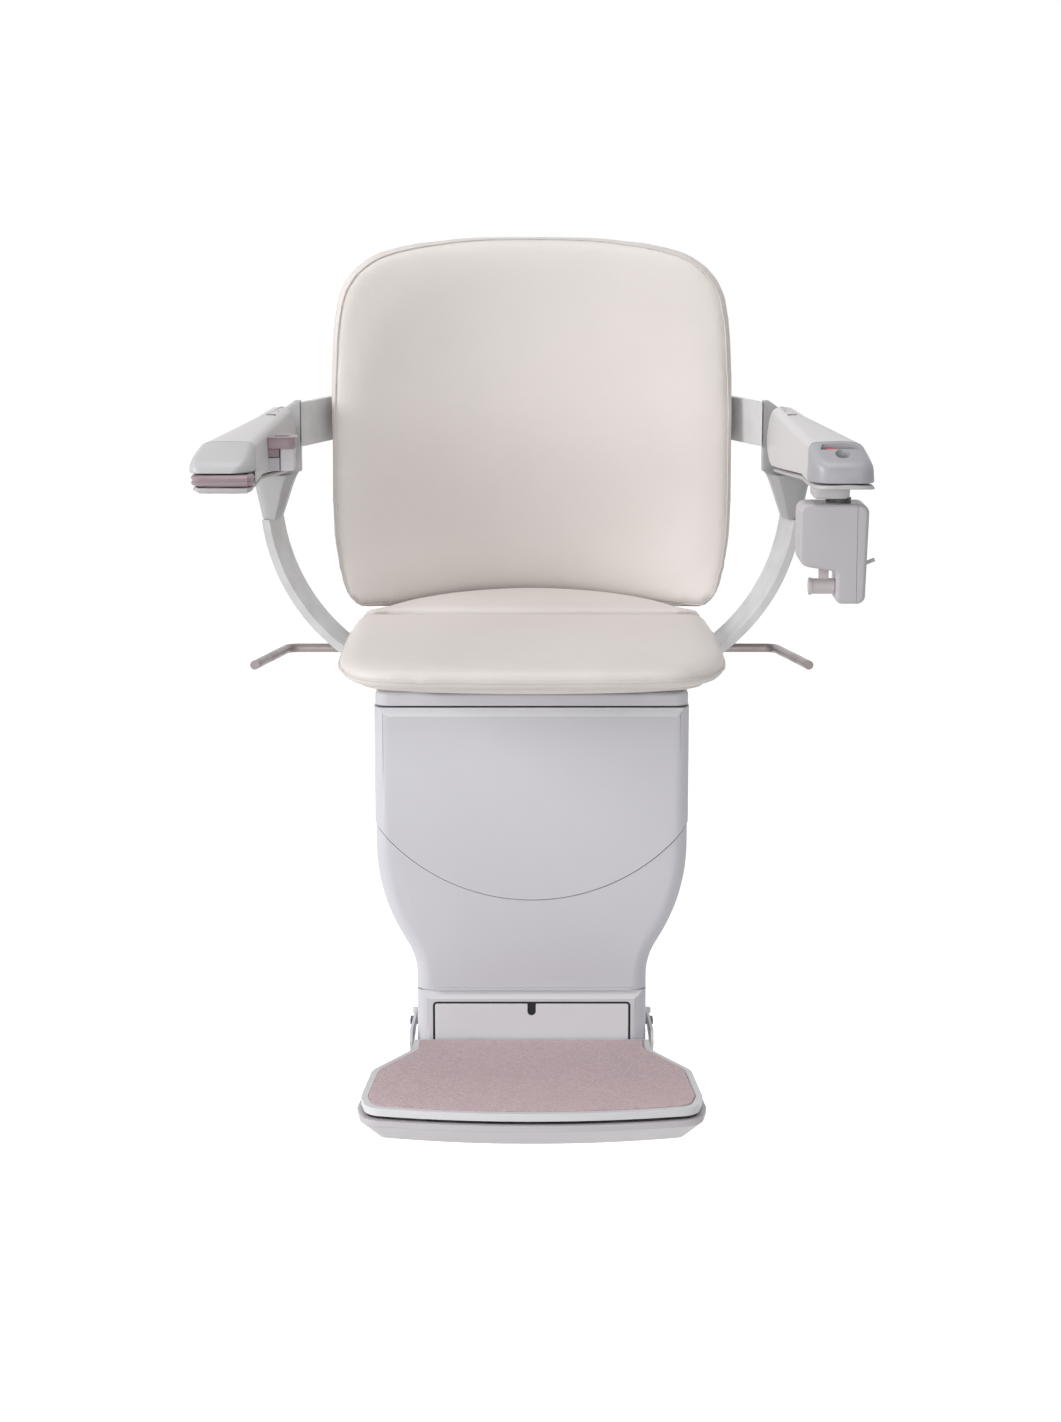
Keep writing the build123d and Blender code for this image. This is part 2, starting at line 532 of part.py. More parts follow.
# ---- Footrest -------------------------------------------------------------------------------
def tread_outline(grow=0.0, shorten=0.0):
    """Plan of the footrest: narrow at its hinge, flared to the front, front edge bowed."""
    neck, wide = TREAD_NECK / 2 + grow, TREAD_WIDTH / 2 + grow
    rear = TREAD_REAR - TRAY_SETBACK if grow > 0 or shorten else TREAD_REAR + grow / 2
    corner = (wide - 7, TREAD_FRONT + 20 - grow + shorten)
    flank = FilletPolyline((neck, rear), (neck, TREAD_REAR - 36), (wide - 7, TREAD_REAR - 108),
                           (wide, TREAD_FRONT + 57 + shorten), corner, radius=[34, 40, 30])
    other = mirror(flank, about=Plane.YZ)
    bow = ThreePointArc(corner, (0, TREAD_FRONT - grow + shorten), (-corner[0], corner[1]))
    face = make_face([*flank.edges(), *other.edges(), bow, Line((-neck, rear), (neck, rear))])
    tips = [v for v in face.vertices() if abs(abs(v.X) - corner[0]) < 0.01 and abs(v.Y - corner[1]) < 0.01]
    return fillet(tips, 22 + grow)


def footrest_platform():
    tread = extrude(level(tread_outline(), TREAD_TOP - TREAD_THICK + 1), amount=TREAD_THICK - 1)
    tread -= extrude(level(tread_outline(-RIM), -CARPET_THICK), amount=CARPET_THICK + 1)
    for side in (-1, 1):
        for x in (side * LUG_X - 20, side * LUG_X + 20):
            knuckle = rod((x - 9, FOLD_Y, FOLD_Z), (1, 0, 0), 18, 6.5)
            tread += knuckle - box((x - 10, x + 10), (FOLD_Y - 20, FOLD_Y + 20), (TREAD_TOP - 2, 20))
        reach = LUG_THICK / 2 + 1
        tread -= box((side * LUG_X - reach, side * LUG_X + reach), (FOLD_Y - 8, FOLD_Y + 20),
                     (-30, -CARPET_THICK - 1.2))
        tread -= rod((side * LUG_X - 40, FOLD_Y, FOLD_Z), (1, 0, 0), 80, FOOT_PIN_R + RUNNING)
    for x, y in guide_places():
        tread += rod((x, y, TREAD_TOP - TREAD_THICK + 2), (0, 0, -1), 14, 5)
    return tread


def guide_places():
    """Where the tray's guide posts hang from the tread."""
    return [(side * 110, y) for side in (-1, 1) for y in (TREAD_REAR - 80, TREAD_FRONT + 60)]


def footrest_carpet():
    pile = extrude(level(tread_outline(-RIM - SOFT_GAP), -CARPET_THICK), amount=CARPET_THICK)
    return pile


def footrest_tray():
    """Safety tray under the tread: flange, raked sides and guide sleeves for the tread's posts."""
    top = TREAD_TOP - TREAD_THICK + 1 - TRAY_GAP
    flange = extrude(level(tread_outline(TRAY_GROW), top - TRAY_FLANGE), amount=TRAY_FLANGE)
    low = top - TRAY_DEPTH
    outer = loft([level(tread_outline(TRAY_GROW, 0), top - TRAY_FLANGE),
                  level(tread_outline(TRAY_GROW - TRAY_DRAW, TRAY_DRAW), low)])
    inner = loft([level(tread_outline(-2, 2), top + 0.01),
                  level(tread_outline(-2 - TRAY_DRAW, TRAY_DRAW + 2), low + TRAY_WALL)])
    tray = flange + outer - inner
    for x, y in guide_places():
        tray += rod((x, y, low + 1), (0, 0, 1), TRAY_DEPTH - 11, 8)
        tray -= rod((x, y, low + 3), (0, 0, 1), 40, 5.3)
    return tray


def side_edge(side):
    """Sprung blade beside the foot of the chassis, pointed at the front."""
    profile = Polyline((EDGE_REAR, EDGE_LOW), (EDGE_REAR, EDGE_TAIL), (EDGE_FRONT + 24, EDGE_HIGH),
                       (EDGE_FRONT + 8, EDGE_HIGH - 4), (EDGE_FRONT, -6),
                       (EDGE_FRONT + 16, EDGE_LOW), close=True)
    blade = extrude(Plane.YZ * make_face(profile), amount=EDGE_THICK)
    blade = Pos(EDGE_X, 0, 0) * blade
    x = EDGE_X + EDGE_THICK / 2
    blade += rod((x, EDGE_REAR, EDGE_LOW), (0, 0, 1), EDGE_TAIL - EDGE_LOW, EDGE_PIN_R + 2.5)
    blade -= rod((x, EDGE_REAR, EDGE_LOW - 1), (0, 0, 1), 60, EDGE_PIN_R + RUNNING)
    return blade if side > 0 else mirror(blade, about=Plane.YZ)


# ---- Swivel and seat frame ------------------------------------------------------------------
COVER_LOW = BODY_TOP + SWIVEL_GAP
COVER_HIGH = COVER_LOW + SWIVEL_COVER


def swivel_cover():
    depth = BACK_Y - FRONT_Y
    middle = (BACK_Y + FRONT_Y) / 2
    outer = extrude(Pos(0, middle, COVER_LOW) * RectangleRounded(BODY_WIDTH, depth, COVER_EDGE),
                    amount=SWIVEL_COVER)
    outer = fillet(outer.faces().sort_by(Axis.Z)[-1].edges(), 4)
    inner = extrude(Pos(0, middle, COVER_LOW) * RectangleRounded(
        BODY_WIDTH - 2 * COVER_WALL, depth - 2 * COVER_WALL, COVER_EDGE - COVER_WALL),
        amount=SWIVEL_COVER - COVER_WALL)
    cover = outer - inner - rod((0, SWIVEL_Y, COVER_LOW), (0, 0, 1), 40, FLANGE_R + 1)
    for side in (-1, 1):
        for y in (-238, -92):
            cover += rod((side * 100, y, COVER_HIGH - 1), (0, 0, 1), FRAME_LEVEL - COVER_HIGH + 1 - BOLTED, 8)
    return cover


def swivel_post():
    flange = COVER_LOW - 1
    post = rod((0, SWIVEL_Y, flange - SPINDLE_LENGTH), (0, 0, 1), SPINDLE_LENGTH, SPINDLE_R)
    post += rod((0, SWIVEL_Y, flange), (0, 0, 1), FLANGE_THICK, FLANGE_R)
    post += rod((0, SWIVEL_Y, flange), (0, 0, 1), FRAME_LEVEL - flange, PEDESTAL_R)
    return post - rod((0, SWIVEL_Y - LOCK_RADIUS, flange - 1), (0, 0, 1), 30, LOCK_R + RUNNING)


def lock_pin():
    bottom = BODY_TOP - 13 + BEARING_TALL + LOCK_REST
    nose = LEVER_Z - CRANK[1] + 4.0
    pin = rod((0, SWIVEL_Y - LOCK_RADIUS, bottom), (0, 0, 1), nose - bottom + 4, LOCK_R)
    y = SWIVEL_Y - LOCK_RADIUS
    return pin + box((-12, 12), (y - 8, y - 0.2), (nose + 1.2, nose + 4.2))


def seat_frame():
    """Welded seat frame: deck plate, cross beam to the uprights, bearers, lever lugs, hinge ears."""
    deck = box((-120, 120), (-262, -70), (FRAME_LEVEL, FRAME_LEVEL + FRAME_SHEET))
    top = FRAME_LEVEL + FRAME_SHEET + BEAM_HIGH
    frame = deck + box((-BEAM_HALF, BEAM_HALF), (BEAM_Y - BEAM_DEEP / 2, BEAM_Y + BEAM_DEEP / 2),
                       (FRAME_LEVEL + FRAME_SHEET, top))
    for side in (-1, 1):
        x = (side * BEARER_X - 12, side * BEARER_X + 12)
        frame += box(x, (BEARER_FRONT, BEARER_BACK), (BEARER_LOW, BEARER_LOW + 12))
        frame += box(x, (-262, BEARER_BACK), (FRAME_LEVEL, BEARER_LOW + 12))
        for y in (BEARER_FRONT + 12, BEARER_BACK - 16):
            rest = pan_under(y) - 0.7
            frame += rod((side * BEARER_X, y, BEARER_LOW + 8), (0, 0, 1), rest - BEARER_LOW - 8, 9)
        frame += box(about(side * 60, 12), (LEVER_Y - 9, BEAM_Y), (FRAME_LEVEL + FRAME_SHEET, LEVER_Z + 8))
        foot = (FRAME_LEVEL, FRAME_LEVEL + FRAME_SHEET)
        frame += box(about(side * 135, 62), (UPRIGHT_FRONT - 3, BEAM_Y), foot)
        frame += rod((side * 60, BEAM_Y, top - 1), (0, 0, 1), rear_pad_under(BEAM_Y - 10) - 0.3 - top + 1, 10)
        ear = box((0, EAR_THICK), (SEAT_HINGE_Y - SEAT_LUG_R, BEAM_Y), (top - 2, top + 6))
        ear += box((0, EAR_THICK), about(SEAT_HINGE_Y, 2 * SEAT_LUG_R), (top - 2, SEAT_HINGE_Z))
        ear += rod((0, SEAT_HINGE_Y, SEAT_HINGE_Z), (1, 0, 0), EAR_THICK, SEAT_LUG_R)
        x = EAR_X if side > 0 else -EAR_X - EAR_THICK
        frame += Pos(x, 0, 0) * ear
    frame -= rod((-200, LEVER_Y, LEVER_Z), (1, 0, 0), 400, LEVER_R + RUNNING)
    frame -= rod((-200, SEAT_HINGE_Y, SEAT_HINGE_Z), (1, 0, 0), 400, SEAT_PIN_R)
    return frame - rod((0, SWIVEL_Y - LOCK_RADIUS, FRAME_LEVEL - 5), (0, 0, 1), 60, LOCK_R + RUNNING)


def swivel_levers():
    """One cross rod, bent forward at both ends, with the crank that lifts the lock pin."""
    tip_x, tip_y, tip_z = LEVER_TIP
    path = FilletPolyline((-tip_x, tip_y, tip_z), (-LEVER_BEND_X, LEVER_Y, LEVER_Z),
                          (LEVER_BEND_X, LEVER_Y, LEVER_Z), (tip_x, tip_y, tip_z), radius=LEVER_BEND_R)
    start = Plane(origin=path @ 0, z_dir=path % 0)
    lever = sweep(start * Circle(LEVER_R), path=path)
    forward, down = CRANK
    for side in (-1, 1):
        x = side * 8.5 - 1.5
        prong = Polyline((LEVER_Y + 3, LEVER_Z - 3), (LEVER_Y - 3, LEVER_Z + 3),
                         (LEVER_Y - forward - 2, LEVER_Z - down + 3.4),
                         (LEVER_Y - forward + 2, LEVER_Z - down - 3.4), close=True)
        lever += Pos(x, 0, 0) * extrude(Plane.YZ * make_face(prong), amount=3)
        lever += rod((x, LEVER_Y - forward, LEVER_Z - down), (1, 0, 0), 3, 4)
    return lever


# ---- Seat -----------------------------------------------------------------------------------
def seat_outline(inset, rear_inset):
    """Plan of the folding seat, drawn in by an amount at its sides and front, another at the crease."""
    rear = SEAT_HINGE_Y - CREASE / 2 - rear_inset
    side = SEAT_REAR_WIDTH / 2 - inset
    wide = SEAT_WIDTH / 2 - inset
    corner = (wide - 5, SEAT_CORNER_Y + inset)
    tip = (corner[0] - 60, SEAT_FRONT + 8 + inset)
    flank = FilletPolyline((side, rear), (wide, SEAT_WIDEST_Y), corner, tip,
                           radius=[120, max(SEAT_CORNER_R - inset / 3, 20)])
    other = mirror(flank, about=Plane.YZ)
    bow = ThreePointArc(tip, (0, SEAT_FRONT + inset), (-tip[0], tip[1]))
    return make_face([*flank.edges(), *other.edges(), bow, Line((-side, rear), (side, rear))])


def tilt_about_crease(solid, angle):
    return solid.rotate(Axis((0, SEAT_HINGE_Y, SEAT_HINGE_Z), (1, 0, 0)), angle)


def crown_rings(draw):
    """Height, inset and roll at the crease of the rings that crown a pad, an ellipse in section."""
    rings = []
    for step in range(1, CROWN_STEPS + 1):
        angle = radians(90 * step / CROWN_STEPS)
        share = 1 - cos(angle)
        rings.append((SEAT_SEAM + (SEAT_CROWN - SEAT_SEAM) * sin(angle), draw * share, CREASE_ROLL * share))
    return rings


def seat_cushion():
    """Crowned seat pad: sides drawn in above and below its seam."""
    rings = [(SEAT_UNDER, 14, 0.3), (SEAT_UNDER + 4, 4, 0.1), (SEAT_SEAM, 0, 0)]
    rings += crown_rings(46)
    pad = loft([level(seat_outline(inset, rear), z) for z, inset, rear in rings], ruled=True)
    return tilt_about_crease(pad, SEAT_TILT) - hinge_pockets()


def hinge_pockets():
    """Pockets in the foam for the two hinge ears and their pins."""
    pockets = []
    for side in (-1, 1):
        low = EAR_X - EAR_THICK - 3 if side > 0 else -EAR_X - EAR_THICK - 3
        span = (low, low + 2 * EAR_THICK + 6)
        pockets.append(box(span, about(SEAT_HINGE_Y, 24), (SEAT_UNDER - 30, SEAT_HINGE_Z + SEAT_LUG_R + 1)))
    return pockets


def rear_pad_under(y):
    """Height of the fixed rear pad's underside at a depth y."""
    angle = radians(REAR_PAD_TILT)
    return SEAT_HINGE_Z - (SEAT_HINGE_Z - SEAT_UNDER) * cos(angle) + (y - SEAT_HINGE_Y) * sin(angle)


def seat_rear_pad():
    """Fixed crescent between the folding seat and the curved back."""
    sections = []
    front = SEAT_HINGE_Y + CREASE / 2
    rings = [(SEAT_UNDER, 5, 0.3), (SEAT_SEAM, 0, 0)]
    rings += crown_rings(14)
    for z, inset, front_inset in rings:
        half = REAR_PAD_HALF - 1.9 * inset
        y = front + front_inset
        arc = ThreePointArc((half, y), (0, REAR_PAD_BACK - inset), (-half, y))
        sections.append(level(make_face([arc, Line((-half, y), (half, y))]), z))
    pad = tilt_about_crease(loft(sections, ruled=True), REAR_PAD_TILT)
    return pad - hinge_pockets()


def pan_under(y):
    """Height of the seat pan's underside at a depth y."""
    return SEAT_HINGE_Z - (SEAT_HINGE_Z - SEAT_UNDER + PAN_THICK + SOFT_GAP) * cos(radians(SEAT_TILT)) + (
        y - SEAT_HINGE_Y) * sin(radians(SEAT_TILT))


def seat_pan():
    """Stiff pan under the folding seat, with ears up to its hinge."""
    top = SEAT_UNDER - SOFT_GAP
    pan = extrude(level(seat_outline(PAN_INSET, 8), top - PAN_THICK), amount=PAN_THICK)
    for side in (-1, 1):
        x = EAR_X - EAR_THICK - 0.5
        thick, low = (0, EAR_THICK), top - PAN_THICK - 6
        ear = box(thick, (SEAT_HINGE_Y - 30, SEAT_HINGE_Y + 5), (low, low + 6.1))
        ear += box(thick, about(SEAT_HINGE_Y, 2 * SEAT_LUG_R), (low, SEAT_HINGE_Z))
        ear += rod((0, SEAT_HINGE_Y, SEAT_HINGE_Z), (1, 0, 0), EAR_THICK, SEAT_LUG_R)
        pan += Pos(x if side > 0 else -x - EAR_THICK, 0, 0) * ear
    pan = tilt_about_crease(pan, SEAT_TILT)
    return pan - rod((-200, SEAT_HINGE_Y, SEAT_HINGE_Z), (1, 0, 0), 400, SEAT_PIN_R + RUNNING)


def hinge_pins():
    """Pins of the folding seat and of the two folding arms."""
    pins = []
    for side in (-1, 1):
        start = EAR_X - EAR_THICK - 2 if side > 0 else -EAR_X - EAR_THICK - 1
        pins.append(rod((start, SEAT_HINGE_Y, SEAT_HINGE_Z), (1, 0, 0), 2 * EAR_THICK + 3, SEAT_PIN_R))
        start = ARM_INNER - 8 if side > 0 else -ARM_OUTER + 2
        pins.append(rod((start, ARM_AXIS_Y, ARM_AXIS_Z), (1, 0, 0), ARM_OUTER - ARM_INNER + 6, ARM_PIN_R))
    return group(*pins)


# ---- Uprights, back -------------------------------------------------------------------------
def upright():
    """Flat bar curved up from the seat frame to the arm bracket, turned to face inwards."""
    cx, cz = UPRIGHT_CENTRE
    band = Pos(cx, cz) * (Circle(UPRIGHT_R + UPRIGHT_THICK / 2) - Circle(UPRIGHT_R - UPRIGHT_THICK / 2))
    low = FRAME_LEVEL + FRAME_SHEET + BOLTED
    band &= Pos(250, (low + UPRIGHT_TOP) / 2) * Rectangle(250, UPRIGHT_TOP - low)
    turn = radians(UPRIGHT_TURN)
    bar = extrude(upright_plane(UPRIGHT_FRONT) * band, amount=UPRIGHT_DEPTH, dir=(-sin(turn), cos(turn), 0))
    return bar - rod((100, LEVER_Y, LEVER_Z), (1, 0, 0), 200, LEVER_R + RUNNING)


def uprights():
    return pair(upright())


def back_frame(shell):
    """Curved band behind the back, whose ends turn forward to the arm brackets."""
    knee_y = BAR_BACK - BAR_SAG
    end_x, end_y = BAR_END
    outer = [ThreePointArc((-BAR_KNEE, knee_y), (0, BAR_BACK), (BAR_KNEE, knee_y)),
             Line((BAR_KNEE, knee_y), (end_x, end_y)), Line((end_x, end_y), (end_x - BAR_THICK, end_y - 2.5)),
             Line((end_x - BAR_THICK, end_y - 2.5), (BAR_KNEE - BAR_THICK, knee_y - 5)),
             ThreePointArc((BAR_KNEE - BAR_THICK, knee_y - 5), (0, BAR_BACK - BAR_THICK),
                           (BAR_THICK - BAR_KNEE, knee_y - 5)),
             Line((BAR_THICK - BAR_KNEE, knee_y - 5), (BAR_THICK - end_x, end_y - 2.5)),
             Line((BAR_THICK - end_x, end_y - 2.5), (-end_x, end_y)),
             Line((-end_x, end_y), (-BAR_KNEE, knee_y))]
    band = extrude(level(make_face(outer), BAR_LOW), amount=BAR_HIGH - BAR_LOW)
    keep_clear = shell + Pos(0, BOSS_GAP, 0) * shell
    for side in (-1, 1):
        z = (BAR_LOW + BAR_HIGH) / 2
        boss = rod((side * 70, BAR_BACK - BAR_THICK - 1, z), (0, -1, 0), 8, 14) - keep_clear
        band += boss.solids().sort_by(Axis.Y)[-1]
    return band & box((-246, 246), (-250, 0), (BAR_LOW - 1, BAR_HIGH + 1))


def back_half(z):
    """Half width of the back at a height: straight flanks, rounded at the top and at the bottom."""
    if z > BACK_CORNER_HIGH:
        share = (z - BACK_CORNER_HIGH) / (BACK_TOP - BACK_CORNER_HIGH)
        return BACK_WIDTH / 2 * (1 - share ** 3.0) ** (1 / 3.0)
    if z < BACK_CORNER_LOW:
        share = (BACK_CORNER_LOW - z) / (BACK_CORNER_LOW - BACK_TOE)
        return BACK_WIDTH / 2 * (1 - share ** 3.5) ** (1 / 3.5)
    return BACK_WIDTH / 2


def back_thick(z):
    """Padding thickness at a height: full in the middle, drawn in towards the rims."""
    top = max(0.0, (z - BACK_TOP + BACK_ROLL) / BACK_ROLL)
    bottom = max(0.0, (BACK_BOTTOM + BACK_ROLL - z) / BACK_ROLL)
    return BACK_THICK * (1 - 0.8 * max(top, bottom) ** 2.5)


def back_slice(z, inset, offset, thin=None):
    """One horizontal slice of the back: a curved lens, set back by an offset from the front."""
    half = back_half(z) - inset
    thick = back_thick(z)
    bend = WING_REACH + WING_EXTRA * exp((BACK_BOTTOM - z) / WING_FADE)
    reach = bend * (half / (BACK_WIDTH / 2)) ** 2
    lean = BACK_LEAN * (z - BACK_BOTTOM) / (BACK_TOP - BACK_BOTTOM)
    front = BACK_FRONT + lean + (BACK_THICK - thick) / 2 + offset
    depth = thin or thick
    rim = max(0.45 * depth, min(depth, SHELL_THICK))
    wing = front - reach + (depth - rim) / 2
    if thin:
        wing -= 0.2 * thick
    front_arc = ThreePointArc((-half, wing), (0, front), (half, wing))
    right = ThreePointArc((half, wing), (half + 0.32 * rim, wing + rim / 2), (half, wing + rim))
    back_arc = ThreePointArc((half, wing + rim), (0, front + depth), (-half, wing + rim))
    left_end = ThreePointArc((-half, wing + rim), (-half - 0.32 * rim, wing + rim / 2), (-half, wing))
    return level(make_face([front_arc, right, back_arc, left_end]), z)


def back_levels(low, high):
    """Heights of the slices, closer together towards the two rims."""
    middle, reach = (low + high) / 2, (high - low) / 2
    return [middle - reach * cos(radians(180 * step / BACK_SLICES)) for step in range(BACK_SLICES + 1)]


def backrest_cushion():
    slices = [back_slice(z, 4.0, 0.0) for z in back_levels(BACK_BOTTOM, BACK_TOP - 1.5)]
    return loft(slices, ruled=True)


def backrest_shell():
    """Moulded shell that follows the back of the cushion."""
    slices = [back_slice(z, 12.0, back_thick(z) + 2.0, SHELL_THICK)
              for z in back_levels(BACK_BOTTOM + 20, BACK_TOP - 12)]
    return loft(slices, ruled=True)


def arm_casing():
    """Bracket casing on the right: neck over the upright, ear beside the arm and block behind it."""
    low = loft([Pos(274, -192, UPRIGHT_TOP + BOLTED) * RectangleRounded(30, 56, 5),
                Pos(272, -188, ARM_AXIS_Z - ARM_END_R - ARM_GAP) * RectangleRounded(52, 76, 8)], ruled=True)
    block = box((246, 296), (-183, -150), (ARM_AXIS_Z - 40, BAR_HIGH + 1))
    ear = box((246, 252.6), (-222, -150), (ARM_AXIS_Z - 40, BAR_HIGH - 7))
    ear += rod((246, ARM_AXIS_Y, ARM_AXIS_Z), (1, 0, 0), 6.6, 24)
    wide, fall = CASING_SLOPE
    shoulder = Polyline((296 - wide, BAR_HIGH + 1), (298, BAR_HIGH + 1), (298, BAR_HIGH + 1 - fall),
                        (296, BAR_HIGH + 1 - fall), close=True)
    block -= slab(make_face(shoulder), -184, -149)
    casing = low + block + ear
    casing -= rod((ARM_INNER - 1, ARM_AXIS_Y, ARM_AXIS_Z), (1, 0, 0), 60, ARM_END_R + ARM_GAP)
    casing -= rod((200, ARM_AXIS_Y, ARM_AXIS_Z), (1, 0, 0), 100, ARM_PIN_R)
    return casing


# ---- Arms -----------------------------------------------------------------------------------
def arm_section(y, inner, outer, low, high, inset, radius):
    """Upright cross section of an arm at depth y."""
    wide, tall = outer - inner - 2 * inset, high - low - 2 * inset
    shape = Pos((inner + outer) / 2, (low + high) / 2) * RectangleRounded(wide, tall, max(radius - inset, 1))
    return upright_plane(y) * shape


def arm_whole(inset=0.0, front=ARM_CAP_Y):
    """Right arm from its hinge to its cap, tapering inwards and rising to the hinge."""
    share = (front - ARM_AXIS_Y) / (ARM_CAP_Y - ARM_AXIS_Y)
    inner = ARM_INNER + (ARM_TIP_INNER - ARM_INNER) * share
    outer = ARM_OUTER + (ARM_TIP_OUTER - ARM_OUTER) * share
    base_low, base_high = ARM_AXIS_Z - ARM_END_R, ARM_AXIS_Z + ARM_END_R
    low = base_low + (ARM_TIP_LOW - base_low) * share
    high = base_high + (ARM_TIP_HIGH - base_high) * share
    body = loft([arm_section(ARM_AXIS_Y, ARM_INNER, ARM_OUTER, base_low, base_high, inset, ARM_ROUND),
                 arm_section(front, inner, outer, low, high, inset, ARM_ROUND)], ruled=True)
    end = rod((ARM_INNER + inset, ARM_AXIS_Y, ARM_AXIS_Z), (1, 0, 0), ARM_OUTER - ARM_INNER - 2 * inset,
              ARM_END_R - inset)
    return body + (end & box((200, 340), (ARM_AXIS_Y, ARM_AXIS_Y + 60), (500, 800)))


def arm_boss():
    """Solid boss round the hinge pin, inside the upper shell."""
    return rod((ARM_INNER, ARM_AXIS_Y, ARM_AXIS_Z), (1, 0, 0), ARM_OUTER - ARM_INNER, 14)


def arm_upper(slot_front):
    """Upper arm shell; where slot_front is set the control slot is left open below it."""
    shell = arm_whole() - arm_whole(ARM_WALL, ARM_CAP_Y + ARM_WALL) + arm_boss()
    shell &= box((200, 340), (-500, -150), (ARM_SPLIT + 0.3, 800))
    if slot_front:
        shell -= box((200, 340), (-500, PADDLE_Y + 26), (500, PADDLE_HIGH + 0.6))
    return shell - arm_bore()


def arm_bore():
    return rod((200, ARM_AXIS_Y, ARM_AXIS_Z), (1, 0, 0), 200, ARM_PIN_R + RUNNING)


def arm_lower(slot_front):
    """Lower arm shell; it reaches under the cap as the lower lip."""
    whole = arm_whole() - arm_whole(ARM_WALL, ARM_CAP_Y + ARM_WALL)
    shell = whole & box((200, 340), (-500, -150), (500, ARM_SPLIT - 0.3))
    lip_high = PADDLE_LOW - 0.6 if slot_front else ARM_SPLIT - 0.9
    base = ARM_TIP_LOW + 1
    lip = extrude(Pos(0, 0, base) * cap_plan(1.0, ARM_CAP_Y + 2), amount=lip_high - base)
    if slot_front:
        shell -= box((200, 340), (-500, PADDLE_Y + 26), (PADDLE_LOW - 0.6, 700))
        shell += box((PADDLE_X - 9, PADDLE_X + 9), (PADDLE_Y - 9, PADDLE_Y + 9), (base, PADDLE_LOW - 0.6))
        shell += rod((PADDLE_X, PADDLE_Y, base), (0, 0, 1), PADDLE_HIGH - base, PADDLE_PIN_R)
    return shell + lip - arm_bore()


def cap_plan(inset, back=ARM_CAP_Y - 0.3):
    """Plan of an arm's rounded front end, from a depth forwards."""
    inner, outer = ARM_TIP_INNER + inset, ARM_TIP_OUTER - inset
    tip = ARM_TIP_Y + inset
    side = FilletPolyline((inner, back), (inner + 1, tip + 3), ((inner + outer) / 2, tip - 1),
                          (outer - 1, tip + 3), (outer, back), radius=[CAP_CORNER, 60, CAP_CORNER])
    return make_face([*side.edges(), Line((outer, back), (inner, back))])


def arm_cap(low):
    """Front cap of an arm, rounded over its top edge."""
    cap = extrude(Pos(0, 0, low) * cap_plan(0.0), amount=ARM_TIP_HIGH - low - 0.5)
    rim = cap.faces().sort_by(Axis.Z)[-1].edges().sort_by(Axis.Y)[:-1]
    return fillet(rim, CAP_CROWN)


def control_paddle():
    """Thumb control: a plate in the slot of the left arm that turns about an upright pin."""
    inner, outer = ARM_TIP_INNER - 1, ARM_TIP_OUTER + 3
    tip = ARM_TIP_Y - 2
    side = FilletPolyline((PADDLE_X - 12, PADDLE_Y + 12), (inner + 2, ARM_CAP_Y + 10), (inner + 3, tip),
                          (outer, tip), (outer - 2, ARM_CAP_Y + 10), (PADDLE_X + 12, PADDLE_Y + 12),
                          radius=[12, 12, 14, 12])
    plate = make_face([*side.edges(), Line((PADDLE_X + 12, PADDLE_Y + 12), (PADDLE_X - 12, PADDLE_Y + 12))])
    paddle = extrude(Pos(0, 0, PADDLE_LOW) * plate, amount=PADDLE_HIGH - PADDLE_LOW)
    paddle = fillet(paddle.faces().sort_by(Axis.Z)[-1].edges(), 2.0)
    paddle -= rod((PADDLE_X, PADDLE_Y, PADDLE_LOW - 1), (0, 0, 1), 30, PADDLE_PIN_R + RUNNING)
    return paddle


def key_cap():
    """Right cap with the recess for the power switch and the key lock's seat."""
    cap = arm_cap(ARM_SPLIT)
    middle = (ARM_TIP_INNER + ARM_TIP_OUTER) / 2
    cap -= box((middle - 20, middle + 18), (ARM_CAP_Y - 12, ARM_CAP_Y - 3.5), (ARM_TIP_HIGH - 9, ARM_TIP_HIGH))
    return cap - rod((middle + 4, ARM_CAP_Y - 20, ARM_TIP_HIGH - 13), (0, 0, 1), 20, 5 + RUNNING)


def power_switch():
    """Rocker in the right cap's recess."""
    middle = (ARM_TIP_INNER + ARM_TIP_OUTER) / 2
    x = (middle - 14, middle - 2)
    barrel = rod((x[0], ARM_CAP_Y - 7.75, ARM_TIP_HIGH - 6), (1, 0, 0), x[1] - x[0], 2.8)
    return barrel + box(x, (ARM_CAP_Y - 11.15, ARM_CAP_Y - 4.35), (ARM_TIP_HIGH - 5, ARM_TIP_HIGH - 3.2))


def key_lock():
    """Key barrel with its slot."""
    middle = (ARM_TIP_INNER + ARM_TIP_OUTER) / 2
    barrel = rod((middle + 4, ARM_CAP_Y - 20, ARM_TIP_HIGH - 13), (0, 0, 1), 12, 5)
    slot = box(about(middle + 4, 1.4), about(ARM_CAP_Y - 20, 6), (ARM_TIP_HIGH - 6, ARM_TIP_HIGH))
    return barrel - slot


